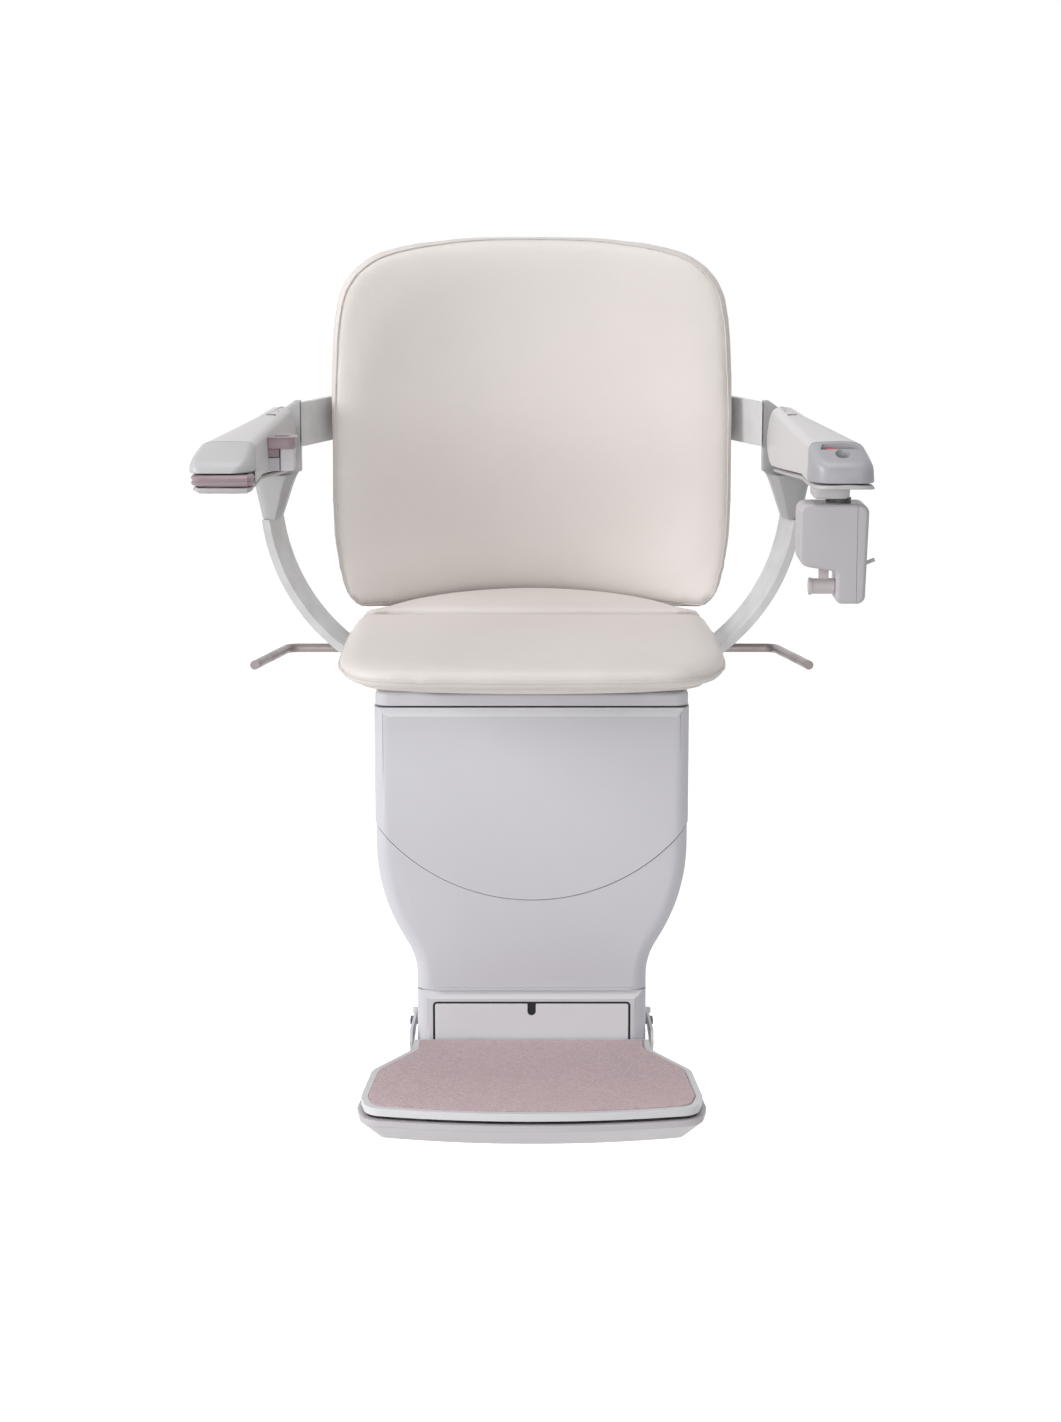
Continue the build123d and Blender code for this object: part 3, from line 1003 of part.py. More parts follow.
def belt_socket():
    """Belt buckle on the inner side of the left arm, slot upwards."""
    x, y = about(SOCKET_X, SOCKET_WIDE), about(SOCKET_Y, SOCKET_DEEP)
    case = box(x, y, (SOCKET_LOW, SOCKET_HIGH - 6))
    case = fillet(case.edges().filter_by(Axis.Z), 4)
    rim = RectangleRounded(SOCKET_WIDE + 3, SOCKET_DEEP + 2, 5)
    ring = extrude(Pos(SOCKET_X, SOCKET_Y, SOCKET_HIGH - 6) * rim, amount=6)
    ring = fillet(ring.faces().sort_by(Axis.Z)[-1].edges(), 2)
    slot = box(about(SOCKET_X, SLOT_WIDE), about(SOCKET_Y, SLOT_DEEP),
               (SOCKET_HIGH - SLOT_LONG, SOCKET_HIGH + 1))
    button = box(about(SOCKET_X, 16.6), (y[0] - 1, y[0] + 6), (SOCKET_LOW + 5.7, SOCKET_LOW + 20.3))
    bracket = box((SOCKET_X, SOCKET_X + 24), about(SOCKET_Y, 16), (SOCKET_LOW + 5, SOCKET_HIGH - 12))
    return case + (bracket - arm_whole()) + ring - slot - button


def belt_release():
    """Push button on the front of the buckle."""
    y = SOCKET_Y - SOCKET_DEEP / 2
    return box((SOCKET_X - 8, SOCKET_X + 8), (y - 2, y + 2.5), (SOCKET_LOW + 6, SOCKET_LOW + 20))


def left(solid):
    """Mirror a solid drawn on the right to the left side."""
    return mirror(solid, about=Plane.YZ)


# ---- Belt reel ------------------------------------------------------------------------------
SPOOL_X = (REEL_LEFT + REEL_RIGHT) / 2
SPOOL_Z = REEL_HIGH - SPOOL_R - REEL_WALL - 5


def reel_outline(inset):
    """Front outline of the reel housing: a round-cornered case with a narrower foot."""
    low, step, high = REEL_LOW + inset, REEL_STEP + inset, REEL_HIGH - inset
    left_x, foot_x, right_x = REEL_LEFT + inset, REEL_FOOT_X + inset, REEL_RIGHT - inset
    start, end = (foot_x + 9, low), (foot_x + 12, low)
    loop = FilletPolyline(start, (foot_x, low), (foot_x, step), (left_x, step + 6), (left_x, high),
                          (right_x, high), (right_x - 3, low), end, radius=[6, 4, 12, 9, 9, 8])
    return make_face([*loop.edges(), Line(end, start)])


def reel_case():
    """Whole hollow case of the belt reel, rounded at its front."""
    front, back = REEL_Y - REEL_DEPTH / 2, REEL_Y + REEL_DEPTH / 2
    case = slab(reel_outline(0), front, back)
    case = fillet(case.faces().sort_by(Axis.Y)[0].edges(), REEL_ROUND)
    return case - slab(reel_outline(REEL_WALL), front + REEL_WALL, back - REEL_WALL)


def reel_housing():
    """Main case of the belt reel, open towards its side cover, with the spool's pin."""
    front = REEL_Y - REEL_DEPTH / 2
    case = reel_case() & box((200, REEL_SEAM_X), (-500, -380), (480, 620))
    case += rod((SPOOL_X, front + 1, SPOOL_Z), (0, 1, 0), 27, SPOOL_PIN_R)
    case += rod((SPOOL_X + 5, REEL_Y - 4, REEL_HIGH - 1), (0, 0, 1), 5, NECK_R)
    slot_x = (REEL_FOOT_X - 18, REEL_FOOT_X - 4)
    case -= box(slot_x, (REEL_Y - 16, REEL_Y + 5), (REEL_STEP - 5, REEL_STEP + 10))
    return case


def reel_cover():
    """Side cover of the reel with its release lever."""
    lid = reel_case() & box((REEL_SEAM_X + SEAM_GAP / 3, 400), (-500, -380), (480, 620))
    back = REEL_Y + REEL_DEPTH / 2
    return lid + rod((REEL_RIGHT - 4, back - 7, REEL_STEP + 2), (1, 0, 0.42), 15, 2)


def belt_spool():
    """Reeled belt on its core, a plain wound drum."""
    front = REEL_Y - REEL_DEPTH / 2 + 5
    drum = rod((SPOOL_X, front, SPOOL_Z), (0, 1, 0), 24, SPOOL_R)
    return drum - rod((SPOOL_X, front - 5, SPOOL_Z), (0, 1, 0), 40, SPOOL_PIN_R + RUNNING)


def belt_tongue():
    """Round-barrelled tongue parked under the reel, its strap tab in the reel's slot."""
    z = REEL_STEP - 16
    barrel = rod((REEL_LEFT + 13, REEL_Y - 6, z), (1, 0, 0), REEL_FOOT_X - REEL_LEFT - 13.4, 7.8)
    ring = rod((REEL_LEFT + 11, REEL_Y - 6, z), (1, 0, 0), 3, 8.6)
    tab = box((REEL_FOOT_X - 16, REEL_FOOT_X - 6), (REEL_Y - 8, REEL_Y - 4), (z, REEL_STEP + 9))
    return barrel + ring + tab


def reel_neck(shell):
    """Add the boss that carries the reel to the right arm's lower shell."""
    start = REEL_HIGH + 4
    return shell + rod((SPOOL_X + 5, REEL_Y - 4, start), (0, 0, 1), ARM_TIP_LOW + 2 - start, 18)


# ---- Export ---------------------------------------------------------------------------------
SHAFT_REACH = -HUB_FRONT + 30
BACK_SHELL = backrest_shell()
NODES = {
    "carriage_plate": carriage_plate(),
    "wear_pads": wear_pads(),
    "roller_axles": at_pivot(group(*[axle(side * ROLLER_SPREAD, rise * ROLLER_Z) for side, rise in CORNERS])),
    "drive_pinion": at_pivot(spindle_gear(0, 0, PINION_TEETH, SHAFT_REACH, SHAFT_R)),
    "governor_gear": at_pivot(spindle_gear(GOVERNOR_X, governor_z(), GOVERNOR_TEETH, PLATE_GAP + 5, AXLE_R)),
    "clamp_bolts": clamp_bolts(),
    "chassis_frame": chassis_frame(),
    "pivot_bush": pivot_bush(),
    "drive_motor": drive_motor(),
    "gearbox": gearbox(),
    "batteries": batteries(),
    "control_board": control_board(),
    "charge_contacts": charge_contacts(),
    "front_cover_upper": front_cover_upper(),
    "front_cover_lower": front_cover_lower(),
    "rear_cover": rear_cover(),
    "footrest_riser": footrest_riser(),
    "access_panel": access_panel(),
    "panel_seal": panel_seal(),
    "swivel_bearing": swivel_bearing(),
    "lower_hinge_pins": lower_hinge_pins(),
    "side_edge_left": side_edge(-1),
    "side_edge_right": side_edge(1),
    "footrest_platform": footrest_platform(),
    "footrest_carpet": footrest_carpet(),
    "footrest_tray": footrest_tray(),
    "swivel_cover": swivel_cover(),
    "swivel_post": swivel_post(),
    "lock_pin": lock_pin(),
    "seat_frame": seat_frame(),
    "swivel_levers": swivel_levers(),
    "uprights": uprights(),
    "back_frame": back_frame(BACK_SHELL),
    "arm_bracket_right": arm_casing(),
    "arm_bracket_left": left(arm_casing()),
    "backrest_shell": BACK_SHELL,
    "backrest_cushion": backrest_cushion(),
    "hinge_pins": hinge_pins(),
    "seat_rear_pad": seat_rear_pad(),
    "seat_pan": seat_pan(),
    "seat_cushion": seat_cushion(),
    "arm_left_upper": left(arm_upper(True)),
    "arm_left_lower": left(arm_lower(True)),
    "arm_left_cap": left(arm_cap(PADDLE_HIGH + 0.6)),
    "control_paddle": left(control_paddle()),
    "belt_socket": left(belt_socket()),
    "belt_release": left(belt_release()),
    "arm_right_upper": arm_upper(False),
    "arm_right_lower": reel_neck(arm_lower(False)),
    "arm_right_cap": key_cap(),
    "power_switch": power_switch(),
    "key_lock": key_lock(),
    "reel_housing": reel_housing(),
    "reel_cover": reel_cover(),
    "belt_spool": belt_spool(),
    "belt_tongue": belt_tongue(),
}
for row, rise in (("top", 1), ("bottom", -1)):
    for column, side in (("left", -1), ("right", 1)):
        NODES[f"roller_{row}_{column}"] = at_pivot(roller(side * ROLLER_SPREAD, rise * ROLLER_Z))

os.makedirs("parts", exist_ok=True)
for name, solid in NODES.items():
    export_step(Pos(0, 0, -PIVOT_HEIGHT) * solid, f"parts/{name}.step")
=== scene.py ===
"""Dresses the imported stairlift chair: upholstery, moulded covers, finishes, light and camera.

Lengths are metres in the row frame. Heights named `height` are measured in millimetres from the
footrest carpet, as in the part's own drawing, and `at` turns them into the row frame.
"""
from __future__ import annotations

import json
import logging
import math
from dataclasses import dataclass
from enum import Enum
from typing import Callable, Iterable, Sequence

import bmesh
import bpy
from mathutils import Matrix, Vector, noise
from mathutils.bvhtree import BVHTree
from mathutils.kdtree import KDTree

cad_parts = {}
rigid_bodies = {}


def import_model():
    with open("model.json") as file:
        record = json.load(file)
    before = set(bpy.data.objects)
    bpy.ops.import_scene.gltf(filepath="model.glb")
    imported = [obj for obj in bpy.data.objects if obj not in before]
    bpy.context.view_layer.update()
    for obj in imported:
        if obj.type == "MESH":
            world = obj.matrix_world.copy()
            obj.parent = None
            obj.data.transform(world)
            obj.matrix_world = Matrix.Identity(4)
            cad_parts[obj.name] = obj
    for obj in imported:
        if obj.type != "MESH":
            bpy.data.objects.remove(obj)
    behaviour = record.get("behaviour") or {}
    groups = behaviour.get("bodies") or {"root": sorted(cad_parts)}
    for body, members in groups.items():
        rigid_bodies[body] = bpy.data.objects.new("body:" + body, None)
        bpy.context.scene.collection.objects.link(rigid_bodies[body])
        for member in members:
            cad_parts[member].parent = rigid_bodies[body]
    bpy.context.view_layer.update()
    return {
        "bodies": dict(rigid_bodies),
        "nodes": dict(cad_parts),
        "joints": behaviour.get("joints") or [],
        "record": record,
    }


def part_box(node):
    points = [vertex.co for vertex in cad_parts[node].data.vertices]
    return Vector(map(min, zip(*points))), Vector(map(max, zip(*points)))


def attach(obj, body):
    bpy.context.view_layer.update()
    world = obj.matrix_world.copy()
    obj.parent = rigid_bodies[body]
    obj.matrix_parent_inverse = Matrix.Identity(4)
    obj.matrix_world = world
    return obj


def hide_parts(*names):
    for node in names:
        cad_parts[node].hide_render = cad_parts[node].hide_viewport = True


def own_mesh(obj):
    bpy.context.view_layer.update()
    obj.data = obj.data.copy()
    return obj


LOG = logging.getLogger("stairlift")
PIVOT_HEIGHT = 180.0  # of the row frame's origin above the footrest carpet, in millimetres
WELD = 1e-6  # distance at which points of a new form become one, in metres
CAD_WELD = 1e-5  # the same for the points of a CAD mesh
FLAT_ANGLE = 0.6  # CAD faces that meet at less than this many degrees are one face
BEVEL_ANGLE = 32.0  # edges sharper than this many degrees take a bevel
Colour = tuple[float, float, float]
Point2 = tuple[float, float]
Point3 = tuple[float, float, float]


def at(x: float, y: float, height: float) -> Vector:
    """Point of the row frame for millimetres across, deep and above the footrest carpet."""
    return Vector((x, y, height - PIVOT_HEIGHT)) / 1000.0


# ---- Shader building blocks -----------------------------------------------------------------
class Graph:
    """Places and links the nodes of one material or node group."""

    def __init__(self, tree: bpy.types.NodeTree) -> None:
        """Wrap a tree.

        Args:
            tree: the node tree to fill.
        """
        self.tree = tree

    def add(self, kind: str, inputs: dict[str | int, object] | None = None,
            **settings: object) -> bpy.types.Node:
        """Add a node, set its properties, then fill or link its inputs.

        Args:
            kind: the node's type name.
            inputs: socket name or index to a value or to an output socket.
            settings: properties of the node itself.

        Returns:
            The new node.
        """
        node = self.tree.nodes.new(kind)
        for key, value in settings.items():
            setattr(node, key, value)
        for key, value in (inputs or {}).items():
            if isinstance(value, bpy.types.NodeSocket):
                self.tree.links.new(value, node.inputs[key])
            else:
                node.inputs[key].default_value = value
        return node

    def maths(self, operation: str, *values: object) -> bpy.types.NodeSocket:
        """Add a Math node and return its value socket."""
        return self.add("ShaderNodeMath", dict(enumerate(values)), operation=operation).outputs[0]

    def spread(self, value: object, low: float, high: float, start: float,
               end: float) -> bpy.types.NodeSocket:
        """Map a value from one span onto another, held at the ends."""
        node = self.add("ShaderNodeMapRange", {0: value, 1: low, 2: high, 3: start, 4: end})
        return node.outputs[0]

    def blend(self, share: object, first: object, second: object) -> bpy.types.NodeSocket:
        """Mix two colours by a share.

        Args:
            share: how much of the second colour there is.
            first: a colour, or a socket that gives one.
            second: another.

        Returns:
            The mixed colour's socket.
        """
        node = self.add("ShaderNodeMix", {0: share}, data_type="RGBA")
        for socket, value in ((node.inputs[6], first), (node.inputs[7], second)):
            if isinstance(value, bpy.types.NodeSocket):
                self.tree.links.new(value, socket)
            else:
                socket.default_value = (*value, 1.0)
        return node.outputs[2]


class Effect(Enum):
    """Shared surface effects, each one shader node group."""

    GRAIN = "Moulded grain"
    # painted highlight along outer edges
    EDGE = "Painted edge highlight"
    DUST = "Settled dust"
    HIDE = "Vinyl hide grain"
    PILE = "Looped pile"
    BRUSH = "Brushed lines"
    WEAVE = "Belt weave"


class EffectLibrary:
    """Builds each shared effect group once and hands it out."""

    def __init__(self) -> None:
        """Start with no group built."""
        self.built: dict[Effect, bpy.types.NodeTree] = {}

    def get(self, effect: Effect) -> bpy.types.NodeTree:
        """Return the group of an effect, building it the first time.

        Args:
            effect: which effect is wanted.

        Returns:
            The node group.
        """
        if effect not in self.built:
            makers = {Effect.GRAIN: self._grain, Effect.EDGE: self._edge_highlight, Effect.DUST: self._dust,
                      Effect.HIDE: self._hide, Effect.PILE: self._pile, Effect.BRUSH: self._brush,
                      Effect.WEAVE: self._weave}
            self.built[effect] = makers[effect](effect.value)
        return self.built[effect]

    @staticmethod
    def _shell(name: str, inputs: Iterable[tuple[str, float]],
               outputs: Iterable[str]) -> tuple[Graph, bpy.types.Node, bpy.types.Node]:
        """Make an empty group with float inputs and outputs.

        Args:
            name: the group's name.
            inputs: socket names and default values.
            outputs: socket names.

        Returns:
            The graph, the group's input node and its output node.
        """
        tree = bpy.data.node_groups.new(name, "ShaderNodeTree")
        for label, value in inputs:
            socket = tree.interface.new_socket(label, in_out="INPUT", socket_type="NodeSocketFloat")
            socket.default_value = value
        for label in outputs:
            tree.interface.new_socket(label, in_out="OUTPUT", socket_type="NodeSocketFloat")
        graph = Graph(tree)
        return graph, graph.add("NodeGroupInput"), graph.add("NodeGroupOutput")

    def _grain(self, name: str) -> bpy.types.NodeTree:
        """Fine spark-eroded texture of moulded plastic, and slow mottling.

        Args:
            name: the group's name.

        Returns:
            The group.
        """
        graph, given, out = self._shell(name, [("Scale", 900.0)], ["Height", "Mottle"])
        spot = graph.add("ShaderNodeTexCoord").outputs["Object"]
        fine = graph.add("ShaderNodeTexNoise", {"Vector": spot, "Scale": given.outputs[0], "Detail": 3.0})
        coarse = graph.maths("MULTIPLY", given.outputs[0], 0.8)
        cells = graph.add("ShaderNodeTexVoronoi", {"Vector": spot, "Scale": coarse})
        height = graph.maths("ADD", graph.maths("MULTIPLY", fine.outputs[0], 0.7),
                             graph.maths("MULTIPLY", cells.outputs[0], 0.3))
        slow = graph.add("ShaderNodeTexNoise", {"Vector": spot, "Scale": 9.0, "Detail": 2.0})
        graph.tree.links.new(height, out.inputs[0])
        graph.tree.links.new(graph.spread(slow.outputs[0], 0.35, 0.65, 0.0, 1.0), out.inputs[1])
        return graph.tree

    def _edge_highlight(self, name: str) -> bpy.types.NodeTree:
        """Mask of outer edges that take a painted highlight, broken up by noise.

        Args:
            name: the group's name.

        Returns:
            The group.
        """
        graph, given, out = self._shell(name, [("Radius", 0.0012)], ["Mask"])
        bevel = graph.add("ShaderNodeBevel", {"Radius": given.outputs[0]}, samples=4)
        normal = graph.add("ShaderNodeNewGeometry").outputs["Normal"]
        dot = graph.add("ShaderNodeVectorMath", {0: bevel.outputs[0], 1: normal}, operation="DOT_PRODUCT")
        turned = graph.spread(dot.outputs["Value"], 0.999, 0.93, 0.0, 1.0)
        spot = graph.add("ShaderNodeTexCoord").outputs["Object"]
        broken = graph.add("ShaderNodeTexNoise", {"Vector": spot, "Scale": 70.0, "Detail": 4.0})
        # mask of the painted edge highlight
        highlight_mask = graph.maths("MULTIPLY", turned, graph.spread(broken.outputs[0], 0.38, 0.62, 0.25, 1.0))
        graph.tree.links.new(highlight_mask, out.inputs[0])
        return graph.tree

    def _dust(self, name: str) -> bpy.types.NodeTree:
        """Mask of faint dust on faces that look up.

        Args:
            name: the group's name.

        Returns:
            The group.
        """
        graph, given, out = self._shell(name, [("Amount", 0.1)], ["Mask"])
        normal = graph.add("ShaderNodeNewGeometry").outputs["Normal"]
        up = graph.add("ShaderNodeSeparateXYZ", {0: normal}).outputs[2]
        spot = graph.add("ShaderNodeTexCoord").outputs["Object"]
        cloud = graph.add("ShaderNodeTexNoise", {"Vector": spot, "Scale": 24.0, "Detail": 6.0})
        laid = graph.maths("MULTIPLY", graph.spread(up, 0.6, 1.0, 0.0, 1.0),
                           graph.spread(cloud.outputs[0], 0.4, 0.7, 0.0, 1.0))
        graph.tree.links.new(graph.maths("MULTIPLY", laid, given.outputs[0]), out.inputs[0])
        return graph.tree

    def _hide(self, name: str) -> bpy.types.NodeTree:
        """Pebbled vinyl: cells with creases between them, and slow shading.

        Args:
            name: the group's name.

        Returns:
            The group.
        """
        graph, given, out = self._shell(name, [("Scale", 420.0)], ["Height", "Mottle"])
        spot = graph.add("ShaderNodeTexCoord").outputs["Object"]
        bent = graph.add("ShaderNodeTexNoise", {"Vector": spot, "Scale": 180.0, "Detail": 2.0})
        moved = graph.add("ShaderNodeVectorMath", {0: bent.outputs[1], "Scale": 0.0022}, operation="SCALE")
        place = graph.add("ShaderNodeVectorMath", {0: spot, 1: moved.outputs[0]}, operation="ADD")
        cells = graph.add("ShaderNodeTexVoronoi", {"Vector": place.outputs[0], "Scale": given.outputs[0]},
                          feature="DISTANCE_TO_EDGE")
        pebble = graph.spread(cells.outputs[0], 0.0, 0.22, 0.0, 1.0)
        fine = graph.add("ShaderNodeTexNoise", {"Vector": spot, "Scale": 1500.0, "Detail": 2.0})
        height = graph.maths("ADD", graph.maths("MULTIPLY", pebble, 0.75),
                             graph.maths("MULTIPLY", fine.outputs[0], 0.25))
        slow = graph.add("ShaderNodeTexNoise", {"Vector": spot, "Scale": 6.0, "Detail": 3.0})
        graph.tree.links.new(height, out.inputs[0])
        graph.tree.links.new(graph.spread(slow.outputs[0], 0.35, 0.65, 0.0, 1.0), out.inputs[1])
        return graph.tree

    def _pile(self, name: str) -> bpy.types.NodeTree:
        """Short looped pile: tufts, the gaps between them and tracking marks.

        Args:
            name: the group's name.

        Returns:
            The group.
        """
        graph, given, out = self._shell(name, [("Scale", 620.0)], ["Height", "Tuft", "Track"])
        spot = graph.add("ShaderNodeTexCoord").outputs["Object"]
        tufts = graph.add("ShaderNodeTexVoronoi", {"Vector": spot, "Scale": given.outputs[0]})
        fuzz = graph.add("ShaderNodeTexNoise", {"Vector": spot, "Scale": 1400.0, "Detail": 4.0})
        round_ = graph.spread(tufts.outputs[0], 0.0, 0.75, 1.0, 0.0)
        height = graph.maths("ADD", graph.maths("MULTIPLY", round_, 0.7),
                             graph.maths("MULTIPLY", fuzz.outputs[0], 0.5))
        fleck = graph.add("ShaderNodeTexNoise", {"Vector": spot, "Scale": 330.0, "Detail": 5.0})
        track = graph.add("ShaderNodeTexNoise", {"Vector": spot, "Scale": 15.0, "Detail": 4.0})
        graph.tree.links.new(height, out.inputs[0])
        graph.tree.links.new(graph.spread(fleck.outputs[0], 0.38, 0.62, 0.0, 1.0), out.inputs[1])
        graph.tree.links.new(graph.spread(track.outputs[0], 0.35, 0.65, 0.0, 1.0), out.inputs[2])
        return graph.tree

    def _brush(self, name: str) -> bpy.types.NodeTree:
        """Fine drawn lines along X and slow stains.

        Args:
            name: the group's name.

        Returns:
            The group.
        """
        graph, given, out = self._shell(name, [("Scale", 60.0)], ["Height", "Stain"])
        spot = graph.add("ShaderNodeTexCoord").outputs["Object"]
        drawn = graph.add("ShaderNodeMapping", {"Vector": spot, "Scale": (1.0, 30.0, 30.0)}).outputs[0]
        lines = graph.add("ShaderNodeTexNoise", {"Vector": drawn, "Scale": given.outputs[0], "Detail": 3.0})
        stain = graph.add("ShaderNodeTexNoise", {"Vector": spot, "Scale": 38.0, "Detail": 5.0})
        graph.tree.links.new(lines.outputs[0], out.inputs[0])
        graph.tree.links.new(graph.spread(stain.outputs[0], 0.4, 0.7, 0.0, 1.0), out.inputs[1])
        return graph.tree

    def _weave(self, name: str) -> bpy.types.NodeTree:
        """Crossing threads of belt webbing.

        Args:
            name: the group's name.

        Returns:
            The group.
        """
        graph, given, out = self._shell(name, [("Scale", 900.0)], ["Height", "Thread"])
        spot = graph.add("ShaderNodeTexCoord").outputs["Object"]
        across = graph.add("ShaderNodeTexWave", {"Vector": spot, "Scale": given.outputs[0]},
                           bands_direction="X")
        along = graph.add("ShaderNodeTexWave", {"Vector": spot, "Scale": given.outputs[0]},
                          bands_direction="Z")
        graph.tree.links.new(graph.maths("MAXIMUM", across.outputs[1], along.outputs[1]), out.inputs[0])
        graph.tree.links.new(graph.maths("MULTIPLY", across.outputs[1], along.outputs[1]), out.inputs[1])
        return graph.tree


EFFECTS = EffectLibrary()


@dataclass(frozen=True)
class Finish:
    """Common ground of every finish.

    Attributes:
        name: material name.
        colour: main colour.
        roughness: middle roughness.
    """

    name: str
    colour: Colour
    roughness: float = 0.45

    def start(self) -> tuple[bpy.types.Material, Graph, bpy.types.Node]:
        """Make the material with its Principled shader.

        Returns:
            The material, its graph and the shader node.
        """
        material = bpy.data.materials.new(self.name)
        material.use_nodes = True
        graph = Graph(material.node_tree)
        shader = material.node_tree.nodes["Principled BSDF"]
        shader.inputs["Roughness"].default_value = self.roughness
        material.diffuse_color = (*self.colour, 1.0)
        return material, graph, shader

    def use(self, graph: Graph, effect: Effect, **inputs: float) -> bpy.types.Node:
        """Place a shared effect in this material with its own values.

        Args:
            graph: the material's graph.
            effect: which effect is placed.
            inputs: values of the effect's inputs, by their names in lower case.

        Returns:
            The effect's node.
        """
        node = graph.add("ShaderNodeGroup")
        node.node_tree = EFFECTS.get(effect)
        for label, value in inputs.items():
            node.inputs[label.capitalize()].default_value = value
        return node

    def shade(self, factor: float) -> Colour:
        """The main colour made lighter or darker by a factor."""
        return tuple(min(1.0, channel * factor) for channel in self.colour)

    def rough(self, graph: Graph, shader: bpy.types.Node, value: bpy.types.NodeSocket,
              swing: float) -> None:
        """Vary the roughness by a mask around the middle value."""
        low, high = max(0.02, self.roughness - swing), min(1.0, self.roughness + swing)
        graph.tree.links.new(graph.spread(value, 0.0, 1.0, low, high), shader.inputs["Roughness"])

    def bump(self, graph: Graph, shader: bpy.types.Node, height: bpy.types.NodeSocket,
             depth: float, strength: float = 1.0) -> None:
        """Raise the surface by a height pattern of a depth in metres."""
        node = graph.add("ShaderNodeBump", {"Height": height, "Distance": depth, "Strength": strength})
        graph.tree.links.new(node.outputs[0], shader.inputs["Normal"])


@dataclass(frozen=True)
class MouldedPlastic(Finish):
    """Moulded plastic with a fine grain, a painted highlight along its edges and a trace of dust.

    Attributes:
        grain: scale of the grain.
        depth: depth of the grain, in metres.
        wear: how much lighter the edges are painted, a painted highlight.
        edge_radius: width of the edges that take the painted highlight, in metres.
        dust: share of the dust that settles.
        dust_colour: its colour.
    """

    grain: float = 1100.0
    depth: float = 0.00006
    # lightening of the painted edge highlight
    wear: float = 1.06
    edge_radius: float = 0.0011
    dust: float = 0.12
    dust_colour: Colour = (0.62, 0.60, 0.57)

    def material(self) -> bpy.types.Material:
        """Build the material.

        Returns:
            The material.
        """
        material, graph, shader = self.start()
        grain = self.use(graph, Effect.GRAIN, scale=self.grain)
        edge = self.use(graph, Effect.EDGE, radius=self.edge_radius)
        dust = self.use(graph, Effect.DUST, amount=self.dust)
        base = graph.blend(grain.outputs[1], self.shade(0.985), self.shade(1.012))
        # painted highlight: outer edges lightened by the wear factor
        edge_highlit = graph.blend(graph.maths("MULTIPLY", edge.outputs[0], 0.6), base, self.shade(self.wear))
        final = graph.blend(dust.outputs[0], edge_highlit, self.dust_colour)
        graph.tree.links.new(final, shader.inputs["Base Color"])
        self.rough(graph, shader, grain.outputs[1], 0.04)
        self.bump(graph, shader, grain.outputs[0], self.depth, 0.6)
        shader.inputs["Specular IOR Level"].default_value = 0.45
        return material


@dataclass(frozen=True)
class Vinyl(Finish):
    """Soft upholstery vinyl with a pebbled grain, painted shade in the creases between the pebbles and a low
    sheen.

    Attributes:
        grain: scale of the pebbles.
        depth: depth of the creases between them, in metres.
        sheen: strength of the sheen.
    """

    grain: float = 420.0
    depth: float = 0.00012
    sheen: float = 0.12

    def material(self) -> bpy.types.Material:
        """Build the material.

        Returns:
            The material.
        """
        material, graph, shader = self.start()
        hide = self.use(graph, Effect.HIDE, scale=self.grain)
        base = graph.blend(hide.outputs[1], self.shade(0.975), self.shade(1.015))
        # painted shade: the creases between pebbles are darkened
        creased = graph.blend(graph.spread(hide.outputs[0], 0.0, 0.5, 0.10, 0.0), base, self.shade(0.8))
        graph.tree.links.new(creased, shader.inputs["Base Color"])
        self.rough(graph, shader, hide.outputs[1], 0.05)
        self.bump(graph, shader, hide.outputs[0], self.depth, 0.55)
        shader.inputs["Sheen Weight"].default_value = self.sheen
        shader.inputs["Specular IOR Level"].default_value = 0.4
        return material


@dataclass(frozen=True)
class Carpet(Finish):
    """Short looped pile, flecked by lighter and darker yarn, with painted shade in the gaps between the
    tufts.

    Attributes:
        tufts: scale of the tufts.
        depth: depth of the pile, in metres.
        sheen: strength of the sheen.
    """

    tufts: float = 620.0
    depth: float = 0.0009
    sheen: float = 0.35

    def material(self) -> bpy.types.Material:
        """Build the material.

        Returns:
            The material.
        """
        material, graph, shader = self.start()
        pile = self.use(graph, Effect.PILE, scale=self.tufts)
        yarn = graph.blend(pile.outputs[1], self.shade(0.86), self.shade(1.12))
        tracked = graph.blend(graph.maths("MULTIPLY", pile.outputs[2], 0.35), yarn, self.shade(0.93))
        # painted shade: the low gaps between tufts are darkened
        deep = graph.blend(graph.spread(pile.outputs[0], 0.15, 0.65, 0.5, 0.0), tracked, self.shade(0.62))
        graph.tree.links.new(deep, shader.inputs["Base Color"])
        self.bump(graph, shader, pile.outputs[0], self.depth, 0.75)
        shader.inputs["Sheen Weight"].default_value = self.sheen
        shader.inputs["Sheen Roughness"].default_value = 0.5
        shader.inputs["Specular IOR Level"].default_value = 0.1
        return material


@dataclass(frozen=True)
class Metal(Finish):
    """Bare or painted metal with drawn lines, stains and a painted highlight along its edges.

    Attributes:
        metallic: 1 for bare metal, 0 for paint.
        lines: scale of the drawn lines.
        depth: depth of the drawn lines, in metres.
        bright: how much lighter the edges are painted, a painted highlight.
        edge_radius: width of the edges that take the painted highlight, in metres.
    """

    metallic: float = 1.0
    lines: float = 60.0
    depth: float = 0.00003
    bright: float = 1.25
    edge_radius: float = 0.0008

    def material(self) -> bpy.types.Material:
        """Build the material.

        Returns:
            The material.
        """
        material, graph, shader = self.start()
        brush = self.use(graph, Effect.BRUSH, scale=self.lines)
        edge = self.use(graph, Effect.EDGE, radius=self.edge_radius)
        base = graph.blend(brush.outputs[1], self.colour, self.shade(0.9))
        # painted highlight: outer edges lightened by the bright factor
        edge_highlit = graph.blend(graph.maths("MULTIPLY", edge.outputs[0], 0.7), base, self.shade(self.bright))
        graph.tree.links.new(edge_highlit, shader.inputs["Base Color"])
        self.rough(graph, shader, brush.outputs[1], 0.08)
        self.bump(graph, shader, brush.outputs[0], self.depth, 0.5)
        shader.inputs["Metallic"].default_value = self.metallic
        return material


